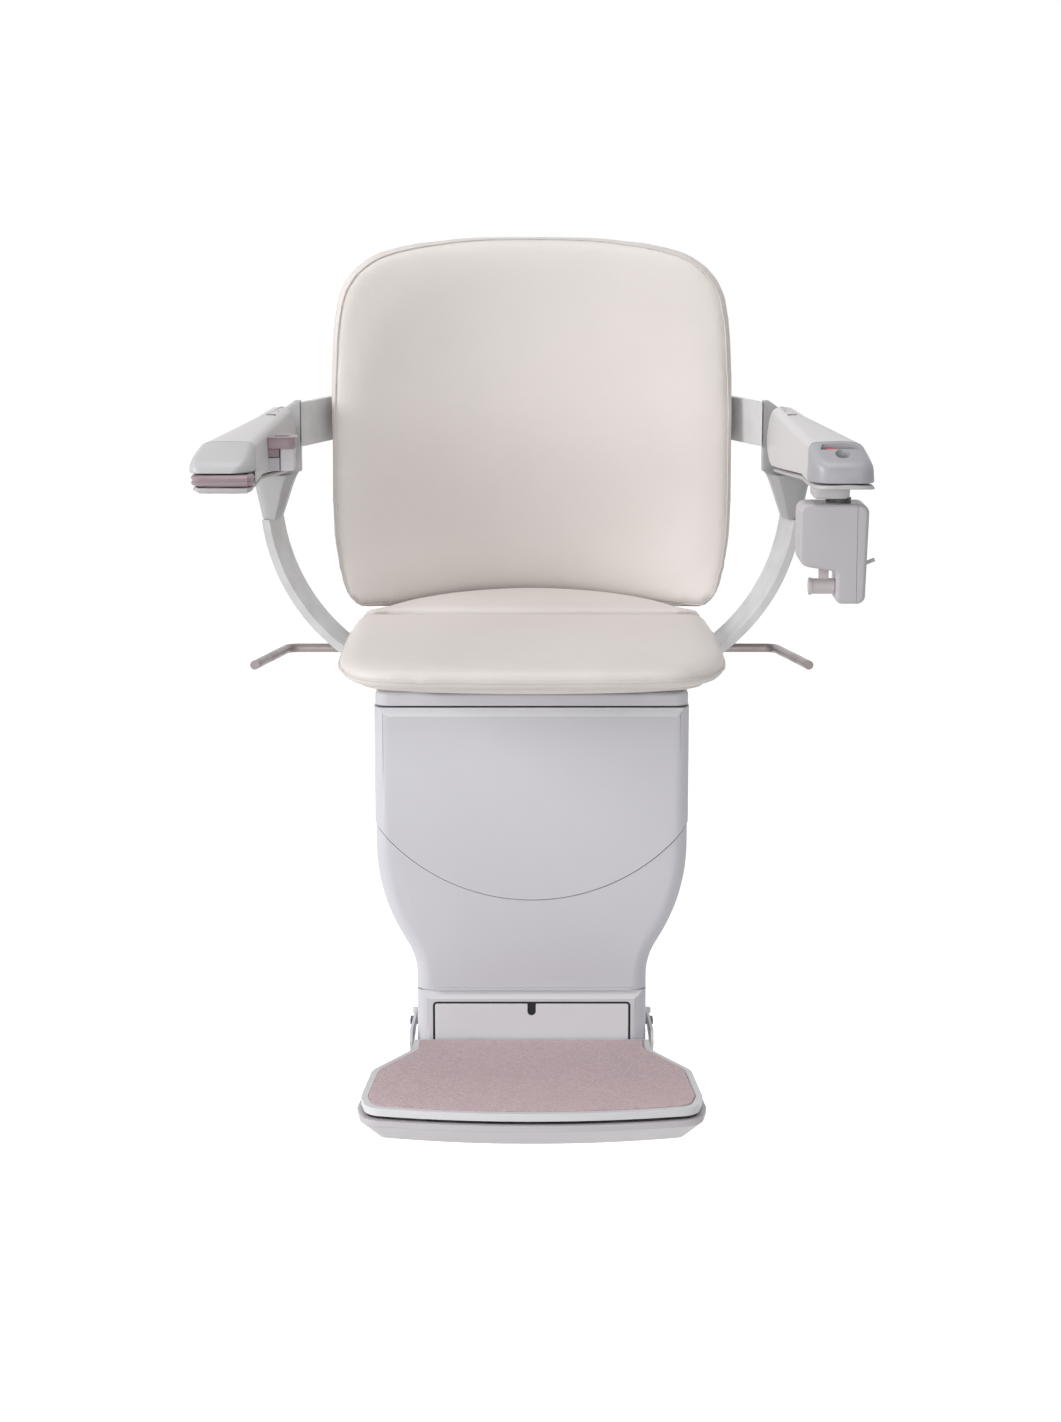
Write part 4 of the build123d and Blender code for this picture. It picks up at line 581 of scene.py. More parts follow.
@dataclass(frozen=True)
class Webbing(Finish):
    """Woven belt.

    Attributes:
        threads: scale of the weave.
        depth: depth of the threads, in metres.
    """

    threads: float = 900.0
    depth: float = 0.0004

    def material(self) -> bpy.types.Material:
        """Build the material.

        Returns:
            The material.
        """
        material, graph, shader = self.start()
        weave = self.use(graph, Effect.WEAVE, scale=self.threads)
        graph.tree.links.new(graph.blend(weave.outputs[1], self.shade(0.6), self.shade(1.3)),
                             shader.inputs["Base Color"])
        self.bump(graph, shader, weave.outputs[0], self.depth, 0.8)
        return material


class Palette(Enum):
    """Every finish of the chair, by what it is on."""

    # wear and bright set how much lighter each finish paints its edges, a painted highlight
    COVER = MouldedPlastic("Cover grey", (0.66, 0.655, 0.70), 0.42)
    # cover grey lightened as painted highlight, for sloping cover bands and the access panel
    COVER_HIGHLIGHT = MouldedPlastic("Cover painted highlight", (0.80, 0.80, 0.83), 0.36)
    TRAY = MouldedPlastic("Tray white", (0.74, 0.74, 0.76), 0.38)
    SKIRT = MouldedPlastic("Tray lilac grey", (0.58, 0.55, 0.575), 0.4)
    ARM = MouldedPlastic("Arm white", (0.66, 0.645, 0.655), 0.40)
    # painted shade: bracket grey darkened for the arm's shadow over its front
    CASING_SHADED = MouldedPlastic("Bracket grey with painted shade", (0.45, 0.45, 0.455), 0.4)
    CAP = MouldedPlastic("Arm cap grey", (0.40, 0.395, 0.425), 0.34)
    CAP_LIGHT = MouldedPlastic("Arm cap light grey", (0.53, 0.53, 0.54), 0.36)
    MAUVE = MouldedPlastic("Mauve", (0.33, 0.25, 0.275), 0.3)
    DEEP = MouldedPlastic("Deep mauve", (0.24, 0.18, 0.20), 0.4)
    BODY = MouldedPlastic("Buckle body", (0.62, 0.60, 0.62), 0.4)
    FOOT = MouldedPlastic("Buckle foot", (0.42, 0.415, 0.43), 0.45)
    RECESS = MouldedPlastic("Screw cover", (0.20, 0.19, 0.195), 0.5)
    LIP = MouldedPlastic("Arm underside", (0.52, 0.50, 0.51), 0.4)
    REEL = MouldedPlastic("Reel grey", (0.50, 0.48, 0.50), 0.36)
    TONGUE = MouldedPlastic("Tongue grey", (0.55, 0.50, 0.50), 0.4)
    SHELL = MouldedPlastic("Back shell", (0.56, 0.54, 0.53), 0.5)
    NYLON = MouldedPlastic("Dark nylon", (0.035, 0.035, 0.038), 0.45, wear=2.0)
    PAD = MouldedPlastic("Natural nylon", (0.72, 0.70, 0.64), 0.4)
    BATTERY = MouldedPlastic("Battery case", (0.02, 0.022, 0.026), 0.5, wear=2.2)
    BOARD = MouldedPlastic("Circuit board", (0.012, 0.09, 0.035), 0.35)
    SEAL = MouldedPlastic("Black seal", (0.008, 0.008, 0.01), 0.6, wear=1.5)
    RED = MouldedPlastic("Red rocker", (0.55, 0.03, 0.035), 0.3)
    VINYL = Vinyl("Upholstery", (0.735, 0.685, 0.655), 0.44)
    WELT = Vinyl("Upholstery welt", (0.66, 0.61, 0.58), 0.46, grain=700.0)
    CARPET = Carpet("Footrest carpet", (0.72, 0.54, 0.565), 0.95)
    BAR = Metal("Silver grey paint", (0.68, 0.68, 0.685), 0.42, metallic=0.0, bright=1.12)
    FRAME = Metal("Dark grey paint", (0.06, 0.06, 0.065), 0.45, metallic=0.0, bright=1.8)
    LEVER = Metal("Taupe paint", (0.36, 0.31, 0.305), 0.36, metallic=0.25, bright=1.2)
    STEEL = Metal("Machined steel", (0.52, 0.52, 0.52), 0.3)
    GEAR = Metal("Oiled steel", (0.16, 0.155, 0.15), 0.35)
    BRONZE = Metal("Turned bronze", (0.50, 0.33, 0.14), 0.32)
    ALLOY = Metal("Cast alloy", (0.48, 0.48, 0.49), 0.5)
    MOTOR = Metal("Black paint", (0.015, 0.015, 0.018), 0.4, metallic=0.0, bright=3.0)
    BELT = Webbing("Belt webbing", (0.05, 0.05, 0.06), 0.8)

    @property
    def material(self) -> bpy.types.Material:
        """The finish's material, built the first time that it is asked for."""
        return bpy.data.materials.get(self.value.name) or self.value.material()


# ---- Mesh building blocks -------------------------------------------------------------------
class Workshop:
    """Makes the new pieces and hangs them on the frame's bodies."""

    def __init__(self, frame: dict) -> None:
        """Keep the loaded frame.
        """
        self.frame = frame

    def paint(self, finish: Palette, *nodes: str) -> None:
        """Give CAD nodes a finish in place of their plain one.

        Args:
            finish: the finish.
            nodes: names of the nodes.
        """
        for name in nodes:
            mesh = self.frame["nodes"][name].data
            mesh.materials.clear()
            mesh.materials.append(finish.material)

    def piece(self, name: str, bm: bmesh.types.BMesh, finish: Palette, body: str, *nodes: str,
              angle: float = 35.0, bevel: float = 0.0, segments: int = 2) -> bpy.types.Object:
        """Turn a bmesh into a finished piece that rides on a body.

        Args:
            name: piece name.
            bm: the mesh; it is freed.
            finish: its finish.
            body: CAD body that carries it.
            nodes: CAD nodes that it stands for.
            angle: edges sharper than this many degrees stay sharp.
            bevel: width of a live bevel in metres, or 0.
            segments: segments of that bevel.

        Returns:
            The object.
        """
        for edge in bm.edges:
            edge.smooth = len(edge.link_faces) != 2 or edge.calc_face_angle(0.0) < math.radians(angle)
        for face in bm.faces:
            face.smooth = True
        mesh = bpy.data.meshes.new(name)
        bm.to_mesh(mesh)
        bm.free()
        obj = bpy.data.objects.new(name, mesh)
        bpy.context.scene.collection.objects.link(obj)
        mesh.materials.append(finish.material)
        if bevel:
            rounding = obj.modifiers.new("Rounded edges", "BEVEL")
            rounding.width, rounding.segments = bevel, segments
            rounding.limit_method, rounding.angle_limit = "ANGLE", math.radians(BEVEL_ANGLE)
            rounding.harden_normals = True
        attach(obj, body)
        if nodes:
            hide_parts(*nodes)
        LOG.info("piece %s on %s: %d faces", name, body, len(mesh.polygons))
        return obj

    def merged(self, node: str) -> bmesh.types.BMesh:
        """A welded copy of a CAD node's mesh, its flat faces made whole.

        Args:
            node: the CAD node.

        Returns:
            The new bmesh.
        """
        bm = bmesh.new()
        bm.from_mesh(self.frame["nodes"][node].data)
        bmesh.ops.remove_doubles(bm, verts=bm.verts, dist=CAD_WELD)
        bmesh.ops.dissolve_limit(bm, angle_limit=math.radians(FLAT_ANGLE), verts=bm.verts, edges=bm.edges)
        return bm

    def refine(self, node: str, finish: Palette, body: str, bevel: float = 0.0005, angle: float = 30.0,
               segments: int = 2) -> bpy.types.Object:
        """Stand a welded, edge-rounded copy in a CAD node's place."""
        return self.piece(f"{node}_skin", self.merged(node), finish, body, node, angle=angle, bevel=bevel,
                          segments=segments)


def ring_of(bm: bmesh.types.BMesh, points: Sequence[Vector]) -> list[bmesh.types.BMEdge]:
    """Place a circle's vertices on a closed row of points.

    Args:
        bm: the mesh to add to.
        points: where the vertices go.

    Returns:
        The ring's edges.
    """
    verts = bmesh.ops.create_circle(bm, cap_ends=False, segments=len(points), radius=1.0)["verts"]
    for vert, point in zip(verts, points):
        vert.co = point
    return list({edge for vert in verts for edge in vert.link_edges})


def loft(rings: Sequence[Sequence[Vector]], closed: bool = False) -> bmesh.types.BMesh:
    """Skin over a row of closed rings, capped at both ends unless it closes on itself.

    Args:
        rings: rows of points, each of the same count.
        closed: whether the last ring joins the first.

    Returns:
        The closed mesh.
    """
    bm = bmesh.new()
    loops = [ring_of(bm, ring) for ring in rings]
    pairs = list(zip(loops, loops[1:])) + ([(loops[-1], loops[0])] if closed else [])
    for low, high in pairs:
        bmesh.ops.bridge_loops(bm, edges=low + high)
    if not closed:
        for loop in (loops[0], loops[-1]):
            bmesh.ops.contextual_create(bm, geom=loop)
    bmesh.ops.remove_doubles(bm, verts=bm.verts, dist=WELD)
    bmesh.ops.recalc_face_normals(bm, faces=bm.faces)
    return bm


def even(points: Sequence[Point2], count: int) -> list[Point2]:
    """Spread points evenly along a closed line.

    Args:
        points: corners of the closed line.
        count: how many points to give.

    Returns:
        The evenly spaced points, starting at the first corner.
    """
    loop = list(points) + [points[0]]
    lengths = [math.dist(a, b) for a, b in zip(loop, loop[1:])]
    step = sum(lengths) / count
    found, index, left = [], 0, 0.0
    for number in range(count):
        want = number * step
        while index < len(lengths) - 1 and left + lengths[index] < want:
            left += lengths[index]
            index += 1
        share = (want - left) / lengths[index] if lengths[index] else 0.0
        a, b = loop[index], loop[index + 1]
        found.append((a[0] + (b[0] - a[0]) * share, a[1] + (b[1] - a[1]) * share))
    return found


def curve_through(points: Sequence[Point2], steps: int = 12) -> list[Point2]:
    """Smooth closed line through points.

    Args:
        points: the points it passes.
        steps: pieces between two of them.

    Returns:
        The points of the line.
    """
    found, count = [], len(points)
    for i in range(count):
        a, b, c, d = (points[(i + k) % count] for k in (-1, 0, 1, 2))
        for step in range(steps):
            t = step / steps
            found.append(tuple(0.5 * (2 * b[k] + (c[k] - a[k]) * t
                                      + (2 * a[k] - 5 * b[k] + 4 * c[k] - d[k]) * t * t
                                      + (3 * b[k] - a[k] - 3 * c[k] + d[k]) * t ** 3) for k in (0, 1)))
    return found


def drawn_in(points: Sequence[Point2], inset: float) -> list[Point2]:
    """Move a closed line inwards along its own normals.

    Args:
        points: an anticlockwise line.
        inset: how far, negative for outwards.

    Returns:
        The moved line.
    """
    count, moved = len(points), []
    for i, point in enumerate(points):
        before, after = points[i - 1], points[(i + 1) % count]
        along = (after[0] - before[0], after[1] - before[1])
        size = math.hypot(*along) or 1.0
        moved.append((point[0] - along[1] / size * inset, point[1] + along[0] / size * inset))
    return moved


def rounded(corners: Sequence[Point2], radii: Sequence[float], steps: int = 5) -> list[Point2]:
    """Closed outline through rounded corners, with the same count of points at each.

    Args:
        corners: the corners in order.
        radii: how far from each corner its rounding starts.
        steps: points per rounding, less one.

    Returns:
        The outline's points.
    """
    points = []
    for number, (corner, radius) in enumerate(zip(corners, radii)):
        middle = Vector(corner)
        before, after = Vector(corners[number - 1]), Vector(corners[(number + 1) % len(corners)])
        start = middle + (before - middle).normalized() * radius
        end = middle + (after - middle).normalized() * radius
        for step in range(steps + 1):
            share = step / steps
            points.append(tuple(start.lerp(middle, share).lerp(middle.lerp(end, share), share)))
    return points


def fall(stops: Sequence[Point2], value: float) -> float:
    """Straight-line value between stops, held at the ends.

    Args:
        stops: places and their values, in rising order.
        value: the place that is asked for.

    Returns:
        The value there.
    """
    for (low, first), (high, last) in zip(stops, stops[1:]):
        if value <= high:
            share = max(0.0, (value - low) / (high - low))
            return first + (last - first) * share
    return stops[-1][1]


def carved(bm: bmesh.types.BMesh, cutters: Sequence[bmesh.types.BMesh]) -> bmesh.types.BMesh:
    """Cut closed meshes out of another.

    Args:
        bm: the mesh to cut; it is freed.
        cutters: what is taken away; they are freed.

    Returns:
        The cut mesh.
    """
    made = []
    for form in (bm, *cutters):
        mesh = bpy.data.meshes.new("carving")
        form.to_mesh(mesh)
        form.free()
        made.append(bpy.data.objects.new("carving", mesh))
        bpy.context.scene.collection.objects.link(made[-1])
    for cutter in made[1:]:
        cut = made[0].modifiers.new("Cut", "BOOLEAN")
        cut.operation, cut.solver, cut.object = "DIFFERENCE", "EXACT", cutter
    bpy.context.view_layer.update()
    result = bpy.data.meshes.new_from_object(made[0].evaluated_get(bpy.context.evaluated_depsgraph_get()))
    out = bmesh.new()
    out.from_mesh(result)
    for obj in made:
        bpy.data.objects.remove(obj)
    bmesh.ops.remove_doubles(out, verts=out.verts, dist=WELD)
    bmesh.ops.recalc_face_normals(out, faces=out.faces)
    return out


def block(x: Point2, y: Point2, height: Point2) -> bmesh.types.BMesh:
    """Plain block between two ends on each axis, in millimetres.

    Args:
        x: its ends across.
        y: its ends in depth.
        height: its ends in height.

    Returns:
        The block.
    """
    low, high = at(x[0], y[0], height[0]), at(x[1], y[1], height[1])
    bm = bmesh.new()
    size = Matrix.Diagonal((*(abs(high[k] - low[k]) for k in range(3)), 1.0))
    bmesh.ops.create_cube(bm, size=1.0, matrix=Matrix.Translation((low + high) / 2) @ size)
    return bm


def stem(start: Vector, end: Vector, radius: float, sides: int = 32) -> bmesh.types.BMesh:
    """Round bar between two points, its radius in millimetres.

    Args:
        start: middle of one end.
        end: middle of the other end.
        radius: its radius.
        sides: sides of its section.

    Returns:
        The bar.
    """
    bm = bmesh.new()
    way = end - start
    turn = way.to_track_quat("Z", "Y").to_matrix().to_4x4()
    bmesh.ops.create_cone(bm, cap_ends=True, segments=sides, radius1=radius / 1000, radius2=radius / 1000,
                          depth=way.length, matrix=Matrix.Translation((start + end) / 2) @ turn)
    return bm


def together(*forms: bmesh.types.BMesh) -> bmesh.types.BMesh:
    """Put several meshes into one; all but the result are freed.

    Args:
        forms: the meshes.

    Returns:
        The one mesh.
    """
    out = bmesh.new()
    for form in forms:
        mesh = bpy.data.meshes.new("joined")
        form.to_mesh(mesh)
        form.free()
        out.from_mesh(mesh)
        bpy.data.meshes.remove(mesh)
    return out


def tube(path: Sequence[Vector], radius: float, sides: int = 10, closed: bool = True) -> bmesh.types.BMesh:
    """Round bead along a path.

    Args:
        path: its middle line.
        radius: bead radius in metres.
        sides: sides of its section.
        closed: whether the path is a loop.

    Returns:
        The bead's mesh.
    """
    rings, count, side = [], len(path), None
    for i, point in enumerate(path):
        before = path[i - 1] if closed or i else path[0]
        after = path[(i + 1) % count] if closed or i < count - 1 else path[-1]
        along = (after - before).normalized()
        side = (along.orthogonal() if side is None else side - along * side.dot(along)).normalized()
        over = along.cross(side)
        rings.append([point + (side * math.cos(a) + over * math.sin(a)) * radius
                      for a in (2 * math.pi * k / sides for k in range(sides))])
    return loft(rings, closed)


# ---- Upholstery -----------------------------------------------------------------------------
@dataclass
class Pad:
    """A stuffed pad, skinned over an outline and swollen by cloth pressure.

    Attributes:
        name: piece name.
        node: CAD node that it stands for, whose box it fills.
        outline: the pad's outline, anticlockwise, in its own plane.
        section: inset and rise of each ring, from the middle of the back to the middle of the face.
        place: turns outline coordinates and a rise into a point of the row frame.
        tighten: share of the section's insets that a place on the outline keeps.
        swell: most that a point may move when the pad is blown up, in metres.
        voxel: face size of the remesh, in metres.
        reach: inset beyond which rings are scaled about their middle.
        core: least share of its size that a ring keeps.
        even_out: rounds that spread the swelling over neighbouring points.
        pressure: pressure of the filling.
        tension: how hard the cover is to stretch.
        bending: how hard it is to bend.
        frames: length of the simulation.
    """

    name: str
    node: str
    outline: Sequence[Point2]
    section: Sequence[Point2]
    place: Callable[[float, float, float], Vector]
    tighten: Callable[[float, float], float] = lambda u, v: 1.0
    swell: float = 0.003
    voxel: float = 0.005
    reach: float = 30.0
    core: float = 0.02
    even_out: int = 30
    pressure: float = 4.0
    tension: float = 40.0
    bending: float = 5.0
    frames: int = 20

    def ring(self, inset: float, rise: float) -> list[Vector]:
        """One ring of the pad in the row frame.

        Args:
            inset: how far the outline is drawn in.
            rise: the ring's rise.

        Returns:
            The ring's points.
        """
        edge = drawn_in(self.outline, min(inset, self.reach))
        flat = []
        for start, end in zip(self.outline, edge):
            keep = self.tighten(*start)
            flat.append(tuple(start[k] + (end[k] - start[k]) * keep for k in (0, 1)))
        if inset > self.reach:
            cx = sum(p[0] for p in flat) / len(flat)
            cy = sum(p[1] for p in flat) / len(flat)
            room = min(max(abs(p[0] - cx) for p in flat), max(abs(p[1] - cy) for p in flat))
            keep = max(self.core, 1.0 - (inset - self.reach) / room)
            flat = [(cx + (p[0] - cx) * keep, cy + (p[1] - cy) * keep) for p in flat]
        return [self.place(u, v, rise) for u, v in flat]

    def body(self) -> bmesh.types.BMesh:
        """The pad's plain closed form."""
        return loft([self.ring(inset, rise) for inset, rise in self.section])

    def blown(self) -> bmesh.types.BMesh:
        """The pad remeshed, swollen by cloth pressure, smoothed and fitted to its node's box.

        Returns:
            The finished mesh.
        """
        mesh = bpy.data.meshes.new(f"{self.name}_form")
        form = self.body()
        form.to_mesh(mesh)
        form.free()
        obj = bpy.data.objects.new(mesh.name, mesh)
        bpy.context.scene.collection.objects.link(obj)
        remesh = obj.modifiers.new("Even faces", "REMESH")
        remesh.mode, remesh.voxel_size = "VOXEL", self.voxel
        relax = obj.modifiers.new("Relax", "SMOOTH")
        relax.iterations = 5
        baked = bpy.data.meshes.new_from_object(obj.evaluated_get(bpy.context.evaluated_depsgraph_get()))
        obj.modifiers.clear()
        obj.data = baked
        self.inflate(obj)
        bm = bmesh.new()
        bm.from_mesh(obj.data)
        bpy.data.objects.remove(obj)
        bmesh.ops.smooth_vert(bm, verts=bm.verts, factor=0.5, use_axis_x=True, use_axis_y=True,
                              use_axis_z=True)
        self.fit(bm)
        return bm

    def fit(self, bm: bmesh.types.BMesh) -> None:
        """Stretch the pad to the box of the node that it stands for.

        Args:
            bm: the pad.
        """
        low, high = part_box(self.node)
        least = Vector(min(vert.co[k] for vert in bm.verts) for k in range(3))
        most = Vector(max(vert.co[k] for vert in bm.verts) for k in range(3))
        for vert in bm.verts:
            for k in range(3):
                share = (vert.co[k] - least[k]) / (most[k] - least[k])
                vert.co[k] = low[k] + share * (high[k] - low[k])

    def inflate(self, obj: bpy.types.Object) -> None:
        """Blow the pad up with cloth pressure and hold each point within the swell.

        Args:
            obj: the remeshed pad; its mesh is replaced.
        """
        rest = [vert.co.copy() for vert in obj.data.vertices]
        cloth = obj.modifiers.new("Filling", "CLOTH")
        cloth.settings.use_pressure = True
        cloth.settings.uniform_pressure_force = self.pressure
        cloth.settings.effector_weights.gravity = 0.0
        cloth.settings.tension_stiffness = self.tension
        cloth.settings.bending_stiffness = self.bending
        cloth.point_cache.frame_start, cloth.point_cache.frame_end = 1, self.frames
        for number in range(1, self.frames + 1):
            bpy.context.scene.frame_set(number)
        blown = obj.evaluated_get(bpy.context.evaluated_depsgraph_get()).data
        moved = [vert.co.copy() for vert in blown.vertices]
        obj.modifiers.clear()
        steps = [end - start for start, end in zip(rest, moved)]
        steps = [step * min(1.0, self.swell / max(step.length, 1e-9)) for step in steps]
        near = [[] for _ in rest]
        for edge in obj.data.edges:
            first, second = edge.vertices
            near[first].append(second)
            near[second].append(first)
        for _ in range(self.even_out):
            steps = [sum((steps[k] for k in ring), step) / (len(ring) + 1)
                     for ring, step in zip(near, steps)]
        for vert, start, step in zip(obj.data.vertices, rest, steps):
            vert.co = start + step
        bpy.context.scene.frame_set(1)


def settle(path: Iterable[Vector], bm: bmesh.types.BMesh, lift: float) -> list[Vector]:
    """Lay a row of points on a surface.

    Args:
        path: the points.
        bm: the surface.
        lift: how far off it they lie.

    Returns:
        The laid points.
    """
    tree = BVHTree.FromBMesh(bm)
    found = []
    for point in path:
        place, normal, _, _ = tree.find_nearest(point)
        found.append(place + normal * lift)
    return found


def sew(bm: bmesh.types.BMesh, path: Sequence[Vector], depth: float, width: float,
        uneven: float = 0.45, scale: float = 55.0) -> None:
    """Draw the cover in along a seam, a little unevenly, as stitches do.

    Args:
        bm: the cover.
        path: the seam's line.
        depth: how deep it is drawn in, in metres.
        width: how wide the channel is, in metres.
        uneven: share of the depth that comes and goes along the seam.
        scale: noise scale of that.
    """
    bm.normal_update()
    line = KDTree(len(path))
    for number, point in enumerate(path):
        line.insert(point, number)
    line.balance()
    moves = []
    for vert in bm.verts:
        _, number, gap = line.find(vert.co)
        pull = 1.0 + uneven * noise.noise(path[number] * scale)
        moves.append(vert.normal * (-depth * pull * math.exp(-(gap / width) ** 2)))
    for vert, move in zip(bm.verts, moves):
        vert.co += move


def pucker(bm: bmesh.types.BMesh, middle: Vector, reach: float, height: float, scale: float) -> None:
    """Add soft, slow creases of the cover round a place.

    Args:
        bm: the cover.
        middle: centre of the creased area.
        reach: its radius in metres.
        height: crease height in metres.
        scale: noise scale.
    """
    bm.normal_update()
    for vert in bm.verts:
        fade = math.exp(-((vert.co - middle).length / reach) ** 2)
        if fade > 0.01:
            vert.co += vert.normal * (height * fade * noise.noise(vert.co * scale))


def upholster(shop: Workshop, pad: Pad, soft: bmesh.types.BMesh, body: str) -> bpy.types.Object:
    """Make a blown pad a finished piece with one live subdivision.

    Args:
        shop: where pieces are made.
        pad: the pad.
        soft: its blown mesh.
        body: the body that carries it.

    Returns:
        The piece.
    """
    obj = shop.piece(pad.name, soft, Palette.VINYL, body, pad.node, angle=80)
    smooth = obj.modifiers.new("Soft surface", "SUBSURF")
    smooth.levels = smooth.render_levels = 1
    return obj


@dataclass
class Backrest:
    """Curved, padded back with its seams, its welts and its moulded shell.

    Attributes:
        right: half width and height along the right flank, from the bottom up.
        ends: height of the outline's middle, at the top and at the foot.
        front: depth of the pad's front at its foot, in the middle.
        thick: padding thickness.
        foot: height of the pad's lower edge.
        tall: height from there to its upper edge.
        half: half width that the bend is measured against.
        bend: how far the flanks lie behind the middle at the top, and how much more at the foot.
        bend_fade: height over which the extra bend of the foot fades.
        lean: how much the top leans forward of the foot.
        section: inset and rise of each ring, from the middle of the back to the middle of the face.
        front_seam: inset and rise of the seam between the front panel and the side band.
        rear_seam: the same for the seam between the side band and the back.
        welts: radius of the front and of the rear welt, in metres.
    """

    right: Sequence[Point2] = ((60, 447), (120, 448), (160, 450), (182, 454), (193, 464), (200.5, 477),
                               (207.5, 504), (212.5, 530), (215.5, 570), (216.3, 620), (216.3, 680),
                               (213.5, 737), (209, 776), (203.5, 797), (195.5, 811), (184, 823),
                               (166, 835), (140, 843), (114, 848), (60, 854))
    ends: Point2 = (855, 446.5)
    front: float = -94.0
    thick: float = 42.0
    foot: float = 457.0
    tall: float = 397.0
    half: float = 215.0
    bend: Point2 = (50.0, 90.0)
    bend_fade: float = 75.0
    lean: float = 4.0
    section: Sequence[Point2] = ((208, -19), (190, -19), (170, -19), (150, -19), (120, -19), (90, -19),
                                 (65, -19), (40, -18.5), (22, -17.5), (11, -15), (5, -11), (2, -7),
                                 (0.6, -2), (0, 3), (1.2, 8), (4.5, 12.5), (10, 16), (18, 18.6),
                                 (30, 20), (45, 20.3), (60, 20.4), (80, 20.4), (110, 20.4), (130, 20.4),
                                 (150, 20.4), (170, 20.4), (190, 20.4), (208, 20.4))
    front_seam: Point2 = (2.2, 9.5)
    rear_seam: Point2 = (1.6, -8.0)
    welts: Point2 = (0.0009, 0.0015)

    def outline(self) -> list[Point2]:
        """Front outline of the pad, anticlockwise."""
        left = [(-x, z) for x, z in reversed(self.right)]
        return even(curve_through([*self.right, (0, self.ends[0]), *left, (0, self.ends[1])]), 160)

    def place(self, u: float, v: float, rise: float) -> Vector:
        """Point on the bent middle surface, raised towards the sitter.

        Args:
            u: distance across.
            v: height.
            rise: how far in front of the middle surface.

        Returns:
            The point in the row frame.
        """
        reach = self.bend[0] + self.bend[1] * math.exp((self.foot - v) / self.bend_fade)
        lean = self.lean * (v - self.foot) / self.tall
        middle = self.front + self.thick / 2 + lean - reach * (u / self.half) ** 2
        return at(u, middle - rise, v)

    def pad(self) -> Pad:
        """The cushion before it is blown up."""
        return Pad("backrest_cushion_soft", "backrest_cushion", self.outline(), self.section, self.place)

    def build(self, shop: Workshop) -> None:
        """Make the cushion, its welts and the shell's finish.

        Args:
            shop: where pieces are made.
        """
        pad = self.pad()
        soft = pad.blown()
        front_seam = settle(pad.ring(*self.front_seam), soft, 0.0)
        rear_seam = settle(pad.ring(*self.rear_seam), soft, 0.0)
        sew(soft, front_seam, depth=0.0013, width=0.0035)
        sew(soft, rear_seam, depth=0.0016, width=0.0035)
        upholster(shop, pad, soft, "chair")
        forward = Vector((0, -0.0002, 0))
        shop.piece("backrest_front_welt", tube([point + forward for point in front_seam], self.welts[0]),
                   Palette.WELT, "chair")
        shop.piece("backrest_rear_welt", tube(rear_seam, self.welts[1]), Palette.WELT, "chair")
        shop.refine("backrest_shell", Palette.SHELL, "chair", bevel=0.0008)


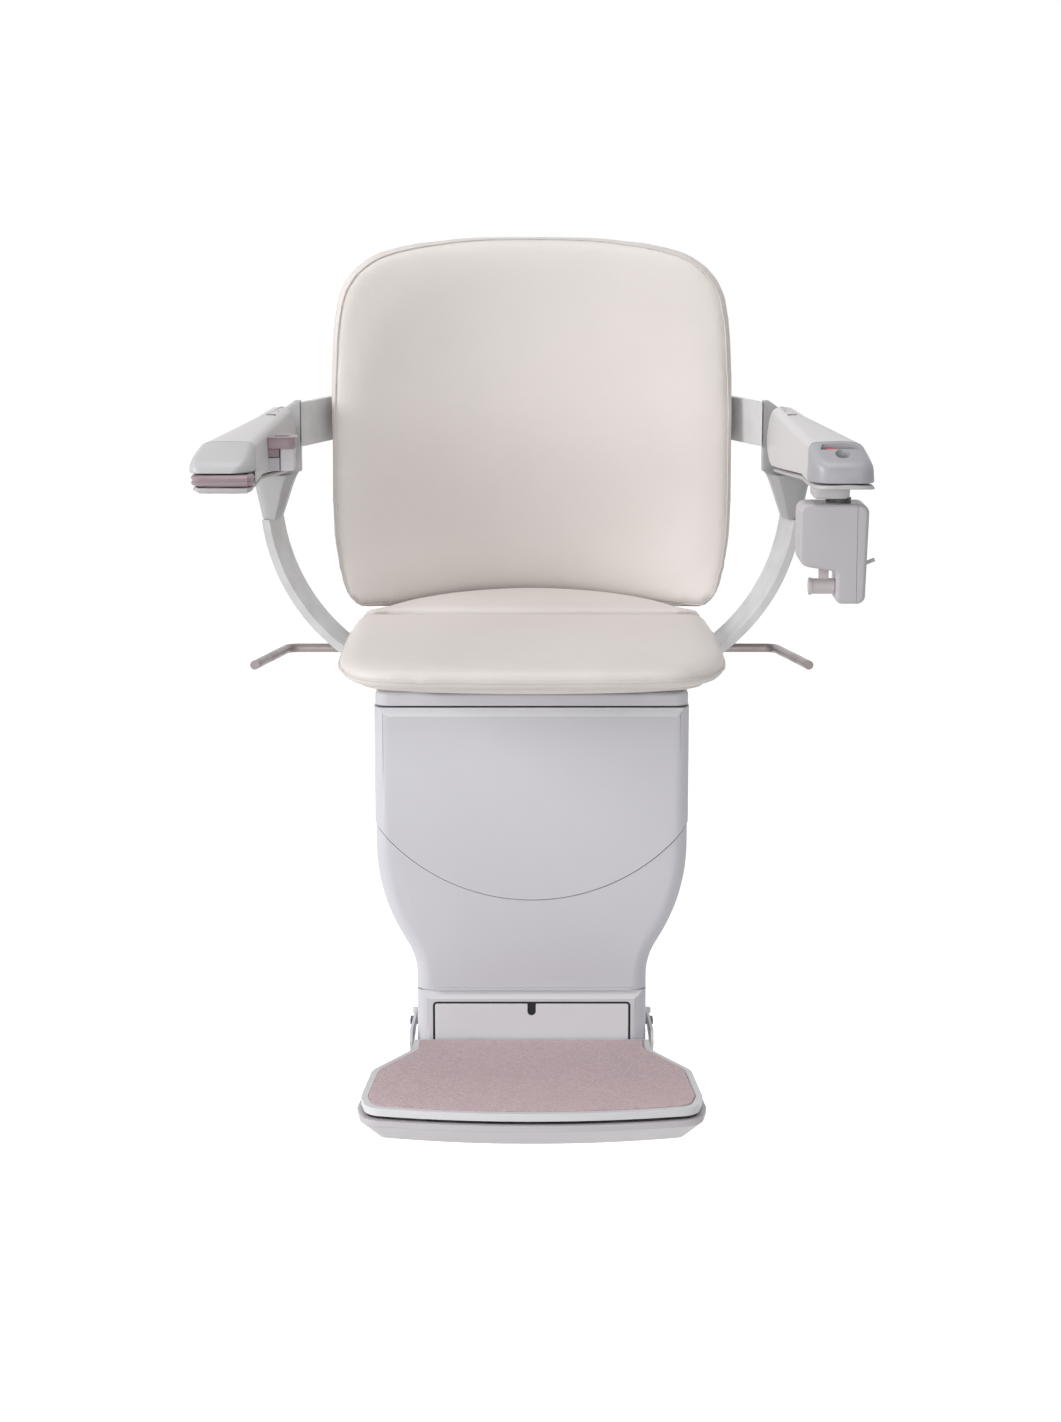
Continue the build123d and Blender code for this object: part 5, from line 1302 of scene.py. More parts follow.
@dataclass
class Seat:
    """Folding seat pad, its piping, and the fixed crescent behind the crease.

    Attributes:
        hinge: depth and height of the crease that the seat folds about.
        tilt: rise of the folding pad to its front, in degrees.
        rear_tilt: rise of the crescent, in degrees.
        crease: depth that parts the folding pad from the crescent.
        front_roll: depth where the folding pad's edge starts to tighten, and the length it takes.
        rear_roll: the same for the crescent.
        roll: share of the insets that is lost where the edge is tightest.
        seam: inset and height of the piped seam round the pad.
        piping: radius of the piping, in metres.
        front_half: half of the folding pad's outline, from the front to the crease.
        front_middle: depth of that outline's last point, in the middle of the crease.
        front_section: inset and height of each of its rings.
        rear_half: half of the crescent's outline, from the back to the crease.
        rear_middle: depth of that outline's last point.
        rear_section: inset and height of each of its rings.
    """

    hinge: Point2 = (-200.0, 450.0)
    tilt: float = 2.0
    rear_tilt: float = 8.0
    crease: float = -199.95
    front_roll: Point2 = (-232.0, 28.0)
    rear_roll: Point2 = (-174.0, 22.0)
    roll: float = 0.5
    seam: Point2 = (0.2, 446.5)
    piping: float = 0.0013
    front_half: Sequence[Point2] = ((0, -508), (60, -507.2), (110, -504.5), (140, -500.5), (163, -490),
                                    (179, -473), (188, -449), (192.6, -418), (193.5, -380),
                                    (192.6, -330), (190.5, -275), (188, -235), (186, -214),
                                    (183.5, -204), (178, -201.2), (120, -200.8), (60, -200.6))
    front_middle: float = -200.6
    front_section: Sequence[Point2] = ((150, 437.5), (140, 437.5), (110, 437.5), (80, 437.5), (30, 437.5),
                                       (12, 438), (6, 439.2), (2.5, 441.5), (0.6, 444.5), (0, 447.5),
                                       (0.8, 450.5), (2.8, 453.4), (6.5, 456), (12, 457.9), (22, 459.3),
                                       (45, 460.2), (90, 461.2), (140, 461.6))
    rear_half: Sequence[Point2] = ((0, -98), (60, -107), (110, -127), (145, -152), (168, -176), (179, -190),
                                   (183.5, -197.5), (178, -199.7), (120, -199.8), (60, -199.8))
    rear_middle: float = -199.8
    rear_section: Sequence[Point2] = ((44, 438.5), (16, 438.5), (5, 439.5), (1, 442), (0, 446),
                                      (1.2, 450.5), (3.6, 454.4), (8, 457.3), (16, 459.3), (30, 460),
                                      (44, 460.4))

    def place(self, angle: float) -> Callable[[float, float, float], Vector]:
        """Placement that tilts a pad about the crease.

        Args:
            angle: the tilt in degrees.

        Returns:
            What turns distance across, depth and height into a tilted point.
        """
        turn = math.radians(angle)

        def put(u: float, v: float, rise: float) -> Vector:
            """Tilted point of the pad.

            Args:
                u: distance across.
                v: depth.
                rise: height.

            Returns:
                The point in the row frame.
            """
            dy, dz = v - self.hinge[0], rise - self.hinge[1]
            return at(u, self.hinge[0] + dy * math.cos(turn) - dz * math.sin(turn),
                      self.hinge[1] + dy * math.sin(turn) + dz * math.cos(turn))

        return put

    def crease_roll(self, u: float, v: float) -> float:
        """Share of the insets kept: less along the crease than along the flanks and the front.

        Args:
            u: distance across, which does not count here.
            v: depth.

        Returns:
            The share, from 0 to 1.
        """
        if v < self.crease:
            near = (v - self.front_roll[0]) / self.front_roll[1]
        else:
            near = (self.rear_roll[0] - v) / self.rear_roll[1]
        return 1.0 - self.roll * max(0.0, min(1.0, near))

    def front_pad(self) -> Pad:
        """The folding pad before it is blown up.

        Returns:
            The pad.
        """
        left = [(-x, y) for x, y in reversed(self.front_half[1:])]
        line = curve_through([*self.front_half, (0, self.front_middle), *left], 6)
        return Pad("seat_cushion_soft", "seat_cushion", even(line, 190), self.front_section,
                   self.place(self.tilt), self.crease_roll, swell=0.002, voxel=0.0045)

    def rear_pad(self) -> Pad:
        """The fixed crescent before it is blown up.

        Returns:
            The pad.
        """
        left = [(-x, y) for x, y in self.rear_half[1:]]
        line = curve_through([*reversed(self.rear_half), *left, (0, self.rear_middle)], 6)
        return Pad("seat_rear_pad_soft", "seat_rear_pad", even(line, 150), self.rear_section,
                   self.place(self.rear_tilt), self.crease_roll, swell=0.0015, voxel=0.004)

    def build(self, shop: Workshop) -> None:
        """Make both pads, the piping and the wrapped pan.

        Args:
            shop: where pieces are made.
        """
        front, rear = self.front_pad(), self.rear_pad()
        soft = front.blown()
        seam = settle(front.ring(*self.seam), soft, 0.0)
        sew(soft, seam, depth=0.0014, width=0.0032)
        for side in (-1, 1):
            pucker(soft, at(side * 150, -480, 452), reach=0.05, height=0.0011, scale=38.0)
        pucker(soft, at(0, -480, 456), reach=0.16, height=0.0007, scale=22.0)
        upholster(shop, front, soft, "seat")
        upward = Vector((0, 0, 0.0004))
        shop.piece("seat_piping", tube([point + upward for point in seam], self.piping), Palette.WELT, "seat")
        crescent = upholster(shop, rear, rear.blown(), "chair")
        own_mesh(crescent)
        shop.refine("seat_pan", Palette.VINYL, "seat", bevel=0.0016, segments=3)


# ---- Moulded and metal sub-assemblies -------------------------------------------------------
@dataclass
class BeltSocket:
    """Belt socket on the inner face of the left arm.

    Plans are corners given as distance across and depth; a box is given by its ends across, in depth
    and in height.

    Attributes:
        head: plan of the head.
        head_cuts: rounding of each of its corners.
        head_profile: height of each of the head's rings, and how far it is drawn in.
        slot: plan of the tongue's slot.
        slot_cut: rounding of its corners.
        slot_heights: between which heights the slot is carved.
        floor_heights: lower and upper face of the slot's floor.
        floor_spread: how far the floor reaches beyond the slot.
        body: box of the body.
        foot: box of the foot.
        key: box of the release key.
    """

    head: Sequence[Point2] = ((-267, -352.5), (-267, -323), (-240, -323), (-239, -352.5))
    head_cuts: Sequence[float] = (2, 3, 11, 11)
    head_profile: Sequence[Point2] = ((648.8, 1.5), (650, 0.3), (651.5, 0.0), (657.0, 0.0), (659.0, 0.7),
                                      (660.2, 2.4))
    slot: Sequence[Point2] = ((-261, -344.0), (-261, -331.5), (-245.0, -331.5), (-245.0, -344.0))
    slot_cut: float = 5.0
    slot_heights: Point2 = (649.5, 664.0)
    floor_heights: Point2 = (649.2, 650.2)
    floor_spread: float = 0.3
    body: Sequence[Point2] = ((-254.4, -240.6), (-349.5, -326), (626.0, 648.7))
    foot: Sequence[Point2] = ((-268.0, -255.0), (-350.5, -326), (626.0, 639.4))
    key: Sequence[Point2] = ((-268.0, -255.2), (-351.2, -329), (640.0, 648.6))

    def build(self, shop: Workshop) -> None:
        """Make the socket's head, slot, body, foot and key.

        Args:
            shop: where pieces are made.
        """
        head = rounded(self.head, self.head_cuts, 6)
        rings = [[at(x, y, height) for x, y in drawn_in(head, draw)] for height, draw in self.head_profile]
        slot = rounded(self.slot, [self.slot_cut] * len(self.slot), 4)
        hole = loft([[at(x, y, height) for x, y in slot] for height in self.slot_heights])
        floor = loft([[at(x, y, height) for x, y in drawn_in(slot, -self.floor_spread)]
                      for height in self.floor_heights])
        shop.piece("belt_socket_head", carved(loft(rings), [hole]), Palette.MAUVE, "arm_left", "belt_socket",
                   angle=28)
        shop.piece("belt_socket_slot", floor, Palette.NYLON, "arm_left")
        shop.piece("belt_socket_body", block(*self.body), Palette.BODY, "arm_left", bevel=0.0012, segments=3)
        shop.piece("belt_socket_foot", block(*self.foot), Palette.FOOT, "arm_left", bevel=0.0008)
        shop.piece("belt_release_key", block(*self.key), Palette.DEEP, "release", "belt_release",
                   bevel=0.0009)


@dataclass
class SwitchCap:
    """The right arm's cap with what is let into it: a rocker in a recess, and a key lock.

    Attributes:
        recess: plan of the recess, corners given as distance across and depth.
        recess_cut: rounding of its corners.
        recess_heights: between which heights the recess is carved.
        socket: distance across and depth of the key's socket.
        socket_heights: between which heights the socket is carved.
        socket_radius: its radius.
        rocker: ends of the rocker across, in depth and in height.
        ridge: depth and height of the round ridge along its top.
        ridge_radius: radius of that ridge.
        barrel: distance across and depth of the lock's barrel.
        barrel_heights: lower and upper face of the barrel.
        barrel_radius: its radius.
        keyway: ends of the slot in the barrel across, in depth and in height.
    """

    recess: Sequence[Point2] = ((283, -433.2), (322, -433.2), (319, -423.5), (286, -423.5))
    recess_cut: float = 2
    recess_heights: Point2 = (651.0, 670.0)
    socket: Point2 = (304.5, -440.5)
    socket_heights: Point2 = (643.0, 670.0)
    socket_radius: float = 7.2
    rocker: Sequence[Point2] = ((290.0, 298.0), (-430.8, -425.0), (651.4, 654.6))
    ridge: Point2 = (-427.9, 654.4)
    ridge_radius: float = 2.3
    barrel: Point2 = (304.5, -440.0)
    barrel_heights: Point2 = (643.2, 646.4)
    barrel_radius: float = 6.0
    keyway: Sequence[Point2] = ((303.9, 305.1), (-444.0, -436.0), (645.4, 648.0))

    def build(self, shop: Workshop, cap: bmesh.types.BMesh) -> None:
        """Make the carved cap, the rocker and the lock's barrel.

        Args:
            shop: where pieces are made.
            cap: the cap's plain form; it is freed.
        """
        recess = rounded(self.recess, [self.recess_cut] * len(self.recess), 3)
        well = loft([[at(x, y, height) for x, y in recess] for height in self.recess_heights])
        socket = stem(*(at(*self.socket, height) for height in self.socket_heights), self.socket_radius)
        shop.piece("arm_right_cap_shell", carved(cap, [well, socket]), Palette.CAP, "arm_right",
                   "arm_right_cap", angle=28)
        ridge = stem(*(at(x, *self.ridge) for x in self.rocker[0]), self.ridge_radius, 20)
        shop.piece("power_rocker", together(block(*self.rocker), ridge), Palette.RED, "switch",
                   "power_switch")
        barrel = stem(*(at(*self.barrel, height) for height in self.barrel_heights), self.barrel_radius)
        shop.piece("key_barrel", carved(barrel, [block(*self.keyway)]), Palette.STEEL, "key", "key_lock",
                   bevel=0.0003)


@dataclass
class Arms:
    """Folding arms: rounded shells, sloping caps, brackets and paddle.

    Distances across are measured from the chair's middle plane, and the left arm mirrors the right one.
    Plans are corners given as distance across and depth.

    Attributes:
        root_centre: depth and height of the middle of the shell's rounded end.
        root: how far that end reaches behind its middle, and its half height.
        seam: depth of the joint between shell and cap.
        inner: distance of the inner face at the root, and how much further out it is at the seam.
        outer: the same for the outer face.
        crown: height of the upper face at the root, and its fall to the seam.
        under: height of the line between the two shells, by depth.
        slot: depth where the paddle's slot begins, and the height of the upper shell's edge over it.
        tip: height of the lip's top at the front of the left and of the right arm.
        thin: thickness of the lower shell, by depth.
        nose: last stations of the right lip, as depth and draw.
        gap: air between the two shells.
        pocket: ends of the room for the paddle in the left lower shell.
        boss_plan: corners of the boss that holds the reel's neck, with the rounding of each.
        boss_profile: height and draw of the boss's rings.
        cap_slope: height of the cap's upper face, by depth.
        cap_stations: depth of each section of the cap, and how far its sides are drawn in.
        cap_low: height of the lower edge of the left and of the right cap.
        funnel: the casing's height, inner and outer faces, front and back, from the upright upwards.
        collar: height and outer face of the casing's wall behind the arm.
        lip_plan: corners of the lip under the paddle, with the rounding of each.
        lip_profile: height and draw of the lip's rings.
        paddle_plan: corners of the paddle, with the rounding of each.
        paddle_profile: height and draw of the paddle's rings.
        wafer_middle: point that the rings of lip and paddle are drawn in to.
        wafer_reach: half width and half depth that a draw is measured against.
        wall_stations: depths of the wall beside the paddle's rear.
        wall: thickness and upper edge of that wall.
        plug: distances, depths and heights of the screw plug in the upper face.
    """

    root_centre: Point2 = (-212.0, 647.0)
    root: Point2 = (35.0, 30.5)
    seam: float = -420.0
    inner: Point2 = (254.0, 18.0)
    outer: Point2 = (281.5, 49.5)
    crown: Point2 = (679.0, 16.0)
    under: Sequence[Point2] = ((-430, 621.5), (-405, 624.5), (-385, 626.5), (-341, 624.0), (-300, 621.3),
                               (-257, 618.8), (-212, 616.5))
    slot: Point2 = (-366.0, 634.2)
    tip: Point2 = (621.0, 623.9)
    thin: Sequence[Point2] = ((-436, 5.6), (-385, 5.0), (-214, 4.5))
    nose: Sequence[Point2] = ((-445.5, 1.2), (-452.5, 3.0), (-457.5, 7.0), (-460.2, 12.0), (-461.5, 19.0))
    gap: float = 0.9
    pocket: Sequence[Point2] = ((-345.0, -277.0), (-445.0, -370.0), (621.2, 640.0))
    boss_plan: Sequence[Sequence[float]] = ((276, -449, 6), (313, -449, 12), (313, -404, 12), (276, -404, 6))
    boss_profile: Sequence[Point2] = ((608.4, 3.0), (609.4, 1.0), (611, 0.2), (619.5, 0.0))
    cap_slope: Sequence[Point2] = ((-461.5, 634.5), (-460.5, 639.0), (-458, 642.4), (-454, 645.6),
                                   (-447, 649.2), (-433, 656.4), (-426, 660.0), (-420, 662.8))
    cap_stations: Sequence[Point2] = ((-420.7, 0.0), (-428, 0.0), (-438, 0.3), (-446, 1.6), (-452, 4.0),
                                      (-456.5, 7.5), (-459.5, 12.0), (-461.2, 18.0))
    cap_low: Point2 = (634.4, 624.6)
    funnel: Sequence[Sequence[float]] = ((560.3, 267, 287, -217, -166), (566, 265, 288, -219, -165),
                                         (592, 256.5, 293, -223, -160), (602, 252.6, 295.2, -225, -156.5),
                                         (607.8, 249, 296, -225, -153))
    collar: Sequence[Point2] = ((607.0, 292), (640, 288), (660, 279), (672, 268), (680, 257), (682, 254))
    lip_plan: Sequence[Sequence[float]] = ((288, -390, 4), (278, -421, 8), (273, -437, 9), (274, -461.5, 13),
                                           (301, -465.0, 24), (330.5, -461.5, 14), (331, -437, 12),
                                           (324, -405, 8), (318, -390, 4))
    lip_profile: Sequence[Point2] = ((615.0, 5.0), (615.5, 2.6), (616.6, 0.9), (618.2, 0.0), (620.3, 0.0),
                                     (621.0, 0.9))
    paddle_plan: Sequence[Sequence[float]] = ((291, -380, 6), (281.5, -421, 8), (271, -437, 10),
                                              (272, -463.5, 13), (301, -466.5, 24), (333.5, -463, 14),
                                              (334, -432, 12), (318, -380, 6))
    paddle_profile: Sequence[Point2] = ((621.9, 9.0), (622.0, 4.0), (622.6, 1.6), (624.2, 0.3), (625.6, 0.2),
                                        (627.0, 1.3), (628.4, 0.9), (630.2, 0.0), (631.8, 0.8), (632.9, 2.6),
                                        (633.3, 5.0), (633.4, 9.0))
    wafer_middle: Point2 = (301.0, -424.0)
    wafer_reach: Point2 = (32.0, 42.0)
    wall_stations: Sequence[float] = (-366.5, -385, -405, -419.6)
    wall: Point2 = (1.6, 637.0)
    plug: Sequence[Point2] = ((266, 276), (-262, -256), (670.0, 675.6))

    def share(self, y: float) -> float:
        """How far a depth lies from the root to the seam, from 0 to 1."""
        return (self.root_centre[0] - y) / (self.root_centre[0] - self.seam)

    def across(self, y: float) -> Point2:
        """Inner and outer faces at a depth."""
        share = self.share(y)
        return self.inner[0] + self.inner[1] * share, self.outer[0] + self.outer[1] * share

    def top(self, y: float) -> float:
        """Height of the arm's upper face at a depth."""
        return self.crown[0] - self.crown[1] * self.share(y)

    def stations(self) -> Iterable[tuple[float, float]]:
        """Depth and share of the full height of each section, from the rounded root to the seam."""
        for angle in (84, 74, 62, 48, 34, 20, 8):
            turn = math.radians(angle)
            yield self.root_centre[0] + self.root[0] * math.sin(turn), math.cos(turn)
        for y in (-212, -240, -270, -300, -330, -345, -365.5, -366.5, -385, -405, self.seam + 0.4):
            yield y, 1.0

    def section(self, side: int, y: float, low: float, high: float, draw: float = 0.0) -> list[Vector]:
        """One upright section of a shell, softly rounded along its upper edges.

        Args:
            side: -1 for the left arm, 1 for the right.
            y: depth.
            low: height of its lower edge.
            high: height of its upper edge.
            draw: how far its sides are drawn in.

        Returns:
            The section's points.
        """
        inner, outer = self.across(y)
        inner, outer = inner + draw, outer - draw
        tall = high - low
        lower = min(2.0, tall / 3)
        shape = rounded(((inner, low), (outer, low), (outer - 1.5, high - 1.0), ((inner + outer) / 2, high),
                         (inner + 1.0, high - 1.2)),
                        (lower, lower, min(15.0, tall / 2), 6.0, min(8.0, tall / 2.2)))
        return [at(side * x, y, z) for x, z in shape]

    def upper(self, side: int) -> bmesh.types.BMesh:
        """Upper shell; on the left it stops above the paddle's slot in front.

        Args:
            side: -1 for the left arm, 1 for the right.

        Returns:
            The shell.
        """
        middle = self.root_centre[1]
        rings = []
        for y, tall in self.stations():
            low = middle - (middle - fall(self.under, y)) * tall
            high = middle + (self.top(y) - middle) * tall
            if side < 0 and y < self.slot[0]:
                low = self.slot[1]
            rings.append(self.section(side, y, low, high))
        return loft(rings)

    def lower(self, side: int) -> bmesh.types.BMesh:
        """Lower shell, a pale rim under the arm that ends as the lip below the paddle or the cap.

        Args:
            side: -1 for the left arm, 1 for the right.

        Returns:
            The shell.
        """
        tip = self.tip[0] if side < 0 else self.tip[1]
        line = ((-436, tip), *((y, height - self.gap) for y, height in self.under[1:]))
        rings = []
        for y in (-214, -240, -270, -300, -341, -385, -405, -420, -436):
            high = fall(line, y)
            rings.append(self.section(side, y, high - fall(self.thin, y), high, 1.2))
        if side < 0:
            shell = carved(loft(rings), [block(*self.pocket)])
            return together(shell, self.wafer(self.lip_plan, self.lip_profile))
        for y, draw in self.nose:
            rings.append(self.section(side, y, tip - self.thin[0][1] + draw / 12, tip, draw))
        return together(loft(rings), self.boss())

    def boss(self) -> bmesh.types.BMesh:
        """Boss under the right tip that holds the reel's neck.

        Returns:
            The boss.
        """
        shape = rounded([(x, y) for x, y, _ in self.boss_plan], [radius for _, _, radius in self.boss_plan])
        return loft([[at(x, y, height) for x, y in drawn_in(shape, draw)]
                     for height, draw in self.boss_profile])

    def wafer(self, plan: Sequence[Sequence[float]], profile: Sequence[Point2]) -> bmesh.types.BMesh:
        """Flat form under the left tip, whose plan is drawn in by height.

        Args:
            plan: its corners, with the rounding of each.
            profile: height and how far the plan is drawn in there.

        Returns:
            The form.
        """
        middle = Vector(self.wafer_middle)
        rings = []
        for height, draw in profile:
            keep = Vector((1.0 - draw / self.wafer_reach[0], 1.0 - draw / self.wafer_reach[1]))
            corners = [middle + (Vector((x, y)) - middle) * keep for x, y, _ in plan]
            shape = rounded(corners, [radius for _, _, radius in plan], 5)
            rings.append([at(-x, y, height) for x, y in shape])
        return loft(rings)

    def cap(self, side: int) -> bmesh.types.BMesh:
        """Front cap, whose top slopes down to a rounded nose.

        Args:
            side: -1 for the left arm, 1 for the right.

        Returns:
            The cap.
        """
        low = self.cap_low[0] if side < 0 else self.cap_low[1]
        return loft([self.section(side, y, low + draw / 30, fall(self.cap_slope, y), draw)
                     for y, draw in self.cap_stations])

    def casing(self, side: int) -> bmesh.types.BMesh:
        """Bracket: a faceted funnel over the upright, and a wall behind the arm.

        Args:
            side: -1 for the left arm, 1 for the right.

        Returns:
            The casing.
        """
        rings = []
        for height, inner, outer, front, back in self.funnel:
            edge = 5.0 + (height - 560) * 0.09
            shape = rounded(((inner, back), (inner, front + 14), (inner + edge, front),
                             (outer - 2, front + 2), (outer, front + 16), (outer, back)),
                            (2.0, 1.2, 1.6, 9.0, 6.0, 2.0))
            rings.append([at(side * x, y, height) for x, y in shape])
        wall = []
        for height, outer in self.collar:
            shape = rounded(((247.5, -152), (247.5, -173.5), (outer - 3, -172.5), (outer, -166),
                             (outer, -152)), (1.0, 1.0, 2.0, 2.0, 1.0))
            wall.append([at(side * x, y, height) for x, y in shape])
        return together(loft(rings), loft(wall))

    def inner_wall(self) -> bmesh.types.BMesh:
        """Wall that closes the left arm's inner side beside the paddle's rear.

        Returns:
            The wall.
        """
        rings = []
        for y in self.wall_stations:
            face, low = self.across(y)[0], fall(self.under, y)
            back = face + self.wall[0]
            shape = rounded(((face, low), (back, low), (back, self.wall[1]), (face, self.wall[1])),
                            (0.5, 0.5, 0.5, 0.5), 2)
            rings.append([at(-x, y, z) for x, z in shape])
        return loft(rings)

    def build(self, shop: Workshop) -> None:
        """Dress both arms.

        Args:
            shop: where pieces are made.
        """
        plug_x, plug_y, plug_height = self.plug
        for side, name in ((-1, "left"), (1, "right")):
            body = f"arm_{name}"
            shop.piece(f"{body}_upper_shell", self.upper(side), Palette.ARM, body, f"{body}_upper", angle=40)
            shop.piece(f"{body}_lower_shell", self.lower(side), Palette.LIP, body, f"{body}_lower", angle=40)
            # bracket casing in the grey darkened as painted shade
            shop.piece(f"{name}_bracket_casing", self.casing(side), Palette.CASING_SHADED, "chair",
                       f"arm_bracket_{name}", angle=24, bevel=0.0006)
            plug = block(tuple(sorted(side * x for x in plug_x)), plug_y, plug_height)
            shop.piece(f"{name}_screw_plug", plug, Palette.RECESS, body, bevel=0.0006)
        shop.piece("arm_left_inner_wall", self.inner_wall(), Palette.ARM, "arm_left", angle=40)
        shop.piece("arm_left_cap_shell", self.cap(-1), Palette.CAP_LIGHT, "arm_left", "arm_left_cap",
                   angle=28)
        shop.piece("thumb_paddle", self.wafer(self.paddle_plan, self.paddle_profile), Palette.MAUVE, "paddle",
                   "control_paddle", angle=40)
        BeltSocket().build(shop)
        SwitchCap().build(shop, self.cap(1))


@dataclass
class BeltReel:
    """Reel housing under the right arm with its tongue.

    Attributes:
        neck: distance across and depth of the neck's middle line.
        collar: heights of the collar's lower and upper face.
        collar_radius: radius of the collar.
    """

    neck: Point2 = (302.5, -428)
    collar: Point2 = (603.4, 608.2)
    collar_radius: float = 12.6

    def build(self, shop: Workshop) -> None:
        """Dress the reel.

        Args:
            shop: where pieces are made.
        """
        shop.refine("reel_housing", Palette.REEL, "reel", bevel=0.004, segments=4)
        shop.refine("reel_cover", Palette.REEL, "reel", bevel=0.003, segments=4)
        shop.refine("belt_tongue", Palette.TONGUE, "tongue", bevel=0.0006)
        low, high = (at(*self.neck, height) for height in self.collar)
        shop.piece("reel_neck_collar", stem(low, high, self.collar_radius, 48), Palette.NYLON, "reel")
        shop.paint(Palette.BELT, "belt_spool")


@dataclass
class ChairFrame:
    """Uprights, crossbar, seat frame, levers and swivel.

    Attributes:
        pin_ends: between which distances from the middle the hinge pins' inner ends lie, in metres.
        pin_cut: distance at which these ends are cut off, behind the arms' inner faces.
    """

    pin_ends: Point2 = (0.244, 0.249)
    pin_cut: float = 0.2575

    def build(self, shop: Workshop) -> None:
        """Dress the chair's metalwork.

        Args:
            shop: where pieces are made.
        """
        shop.refine("uprights", Palette.BAR, "chair", bevel=0.0012)
        shop.refine("back_frame", Palette.BAR, "chair", bevel=0.0008)
        shop.refine("swivel_levers", Palette.LEVER, "levers", bevel=0.0)
        shop.refine("swivel_cover", Palette.COVER, "chair", bevel=0.0006)
        shop.paint(Palette.FRAME, "seat_frame")
        shop.paint(Palette.STEEL, "swivel_post", "lock_pin")
        pins = shop.merged("hinge_pins")
        for vert in pins.verts:
            if self.pin_ends[0] < abs(vert.co.x) < self.pin_ends[1]:
                vert.co.x = math.copysign(self.pin_cut, vert.co.x)
        shop.piece("hinge_pins_cut", pins, Palette.STEEL, "chair", "hinge_pins")


@dataclass
class Chassis:
    """Covers of the drive chassis and what they hide.

    Attributes:
        banded: covers whose sloping front faces are painted lighter, a painted highlight band.
        band_rise: between which values the upward part of a band face's normal lies.
        band_front: how far, at least, its normal leans to the front.
        band_side: how far, at most, its normal leans to a side.
        edge_top: height of a lowered edge at its front.
        edge_fall: how much lower it is at its rear.
        edge_front: depth of that front.
        edge_run: distance from front to rear.
        edge_inner: distance from the middle beyond which edges are lowered, in metres.
    """

    banded: Sequence[str] = ("front_cover_upper", "footrest_riser")
    band_rise: Point2 = (0.3, 0.97)
    band_front: float = 0.2
    band_side: float = 0.2
    edge_top: float = 5.0
    edge_fall: float = 21.0
    edge_front: float = -240.0
    edge_run: float = 156.0
    edge_inner: float = 0.12

    def build(self, shop: Workshop) -> None:
        """Dress the chassis.

        Args:
            shop: where pieces are made.
        """
        for node in ("front_cover_upper", "front_cover_lower", "rear_cover", "footrest_riser"):
            skin = shop.refine(node, Palette.COVER, "chassis", bevel=0.0005)
            if node in self.banded:
                self.band(skin)
        # access panel painted in the lighter grey, a painted highlight
        shop.refine("access_panel", Palette.COVER_HIGHLIGHT, "chassis", bevel=0.0005)
        shop.refine("panel_seal", Palette.SEAL, "chassis", bevel=0.0)
        for side in ("left", "right"):
            blade = self.lowered(shop, f"side_edge_{side}")
            shop.piece(f"side_edge_{side}_skin", blade, Palette.TRAY, f"edge_{side}", f"side_edge_{side}",
                       angle=30, bevel=0.0005)
        shop.piece("lower_hinge_pins_cut", self.lowered(shop, "lower_hinge_pins"), Palette.TRAY, "chassis",
                   "lower_hinge_pins", angle=30)
        shop.paint(Palette.FRAME, "chassis_frame")
        shop.paint(Palette.BRONZE, "pivot_bush", "charge_contacts")
        shop.paint(Palette.MOTOR, "drive_motor")
        shop.paint(Palette.ALLOY, "gearbox")
        shop.paint(Palette.BATTERY, "batteries")
        shop.paint(Palette.BOARD, "control_board")
        shop.paint(Palette.STEEL, "swivel_bearing")

    def band(self, skin: bpy.types.Object) -> None:
        """Paint a cover's sloping front faces lighter, as a painted highlight.

        Args:
            skin: the cover.
        """
        # painted highlight on the sloping band faces
        skin.data.materials.append(Palette.COVER_HIGHLIGHT.material)
        for face in skin.data.polygons:
            normal = face.normal
            rises = self.band_rise[0] < normal.z < self.band_rise[1]
            if rises and normal.y < -self.band_front and abs(normal.x) < self.band_side:
                face.material_index = 1

    def lowered(self, shop: Workshop, node: str) -> bmesh.types.BMesh:
        """Copy of a node whose upper edge falls to the rear, in front of the riser's foot.

        Args:
            shop: where pieces are made.
            node: the CAD node.

        Returns:
            The copy.
        """
        bm = shop.merged(node)
        for vert in bm.verts:
            share = (vert.co.y * 1000.0 - self.edge_front) / self.edge_run
            highest = at(0.0, 0.0, self.edge_top - self.edge_fall * share).z
            if vert.co.z > highest and abs(vert.co.x) > self.edge_inner:
                vert.co.z = highest
        return bm


@dataclass
class Footrest:
    """Carpeted tread and the safety tray under it."""

    def build(self, shop: Workshop) -> None:
        """Dress the footrest.

        Args:
            shop: where pieces are made.
        """
        shop.refine("footrest_platform", Palette.TRAY, "footrest", bevel=0.0015, segments=3)
        shop.refine("footrest_carpet", Palette.CARPET, "footrest", bevel=0.0008)
        shop.refine("footrest_tray", Palette.SKIRT, "tray", bevel=0.001)


@dataclass
class Carriage:
    """Rail carriage with its rollers, gears and wear pads."""

    def build(self, shop: Workshop) -> None:
        """Dress the carriage.

        Args:
            shop: where pieces are made.
        """
        shop.paint(Palette.FRAME, "carriage_plate")
        shop.paint(Palette.PAD, "wear_pads")
        shop.paint(Palette.STEEL, "roller_axles", "clamp_bolts")
        shop.paint(Palette.GEAR, "drive_pinion", "governor_gear")
        shop.paint(Palette.NYLON, *(f"roller_{row}_{column}" for row in ("top", "bottom")
                                    for column in ("left", "right")))


# ---- Studio ---------------------------------------------------------------------------------
AIM: Point3 = (0.0, -0.25, 0.2)  # middle of the chair, for lamps


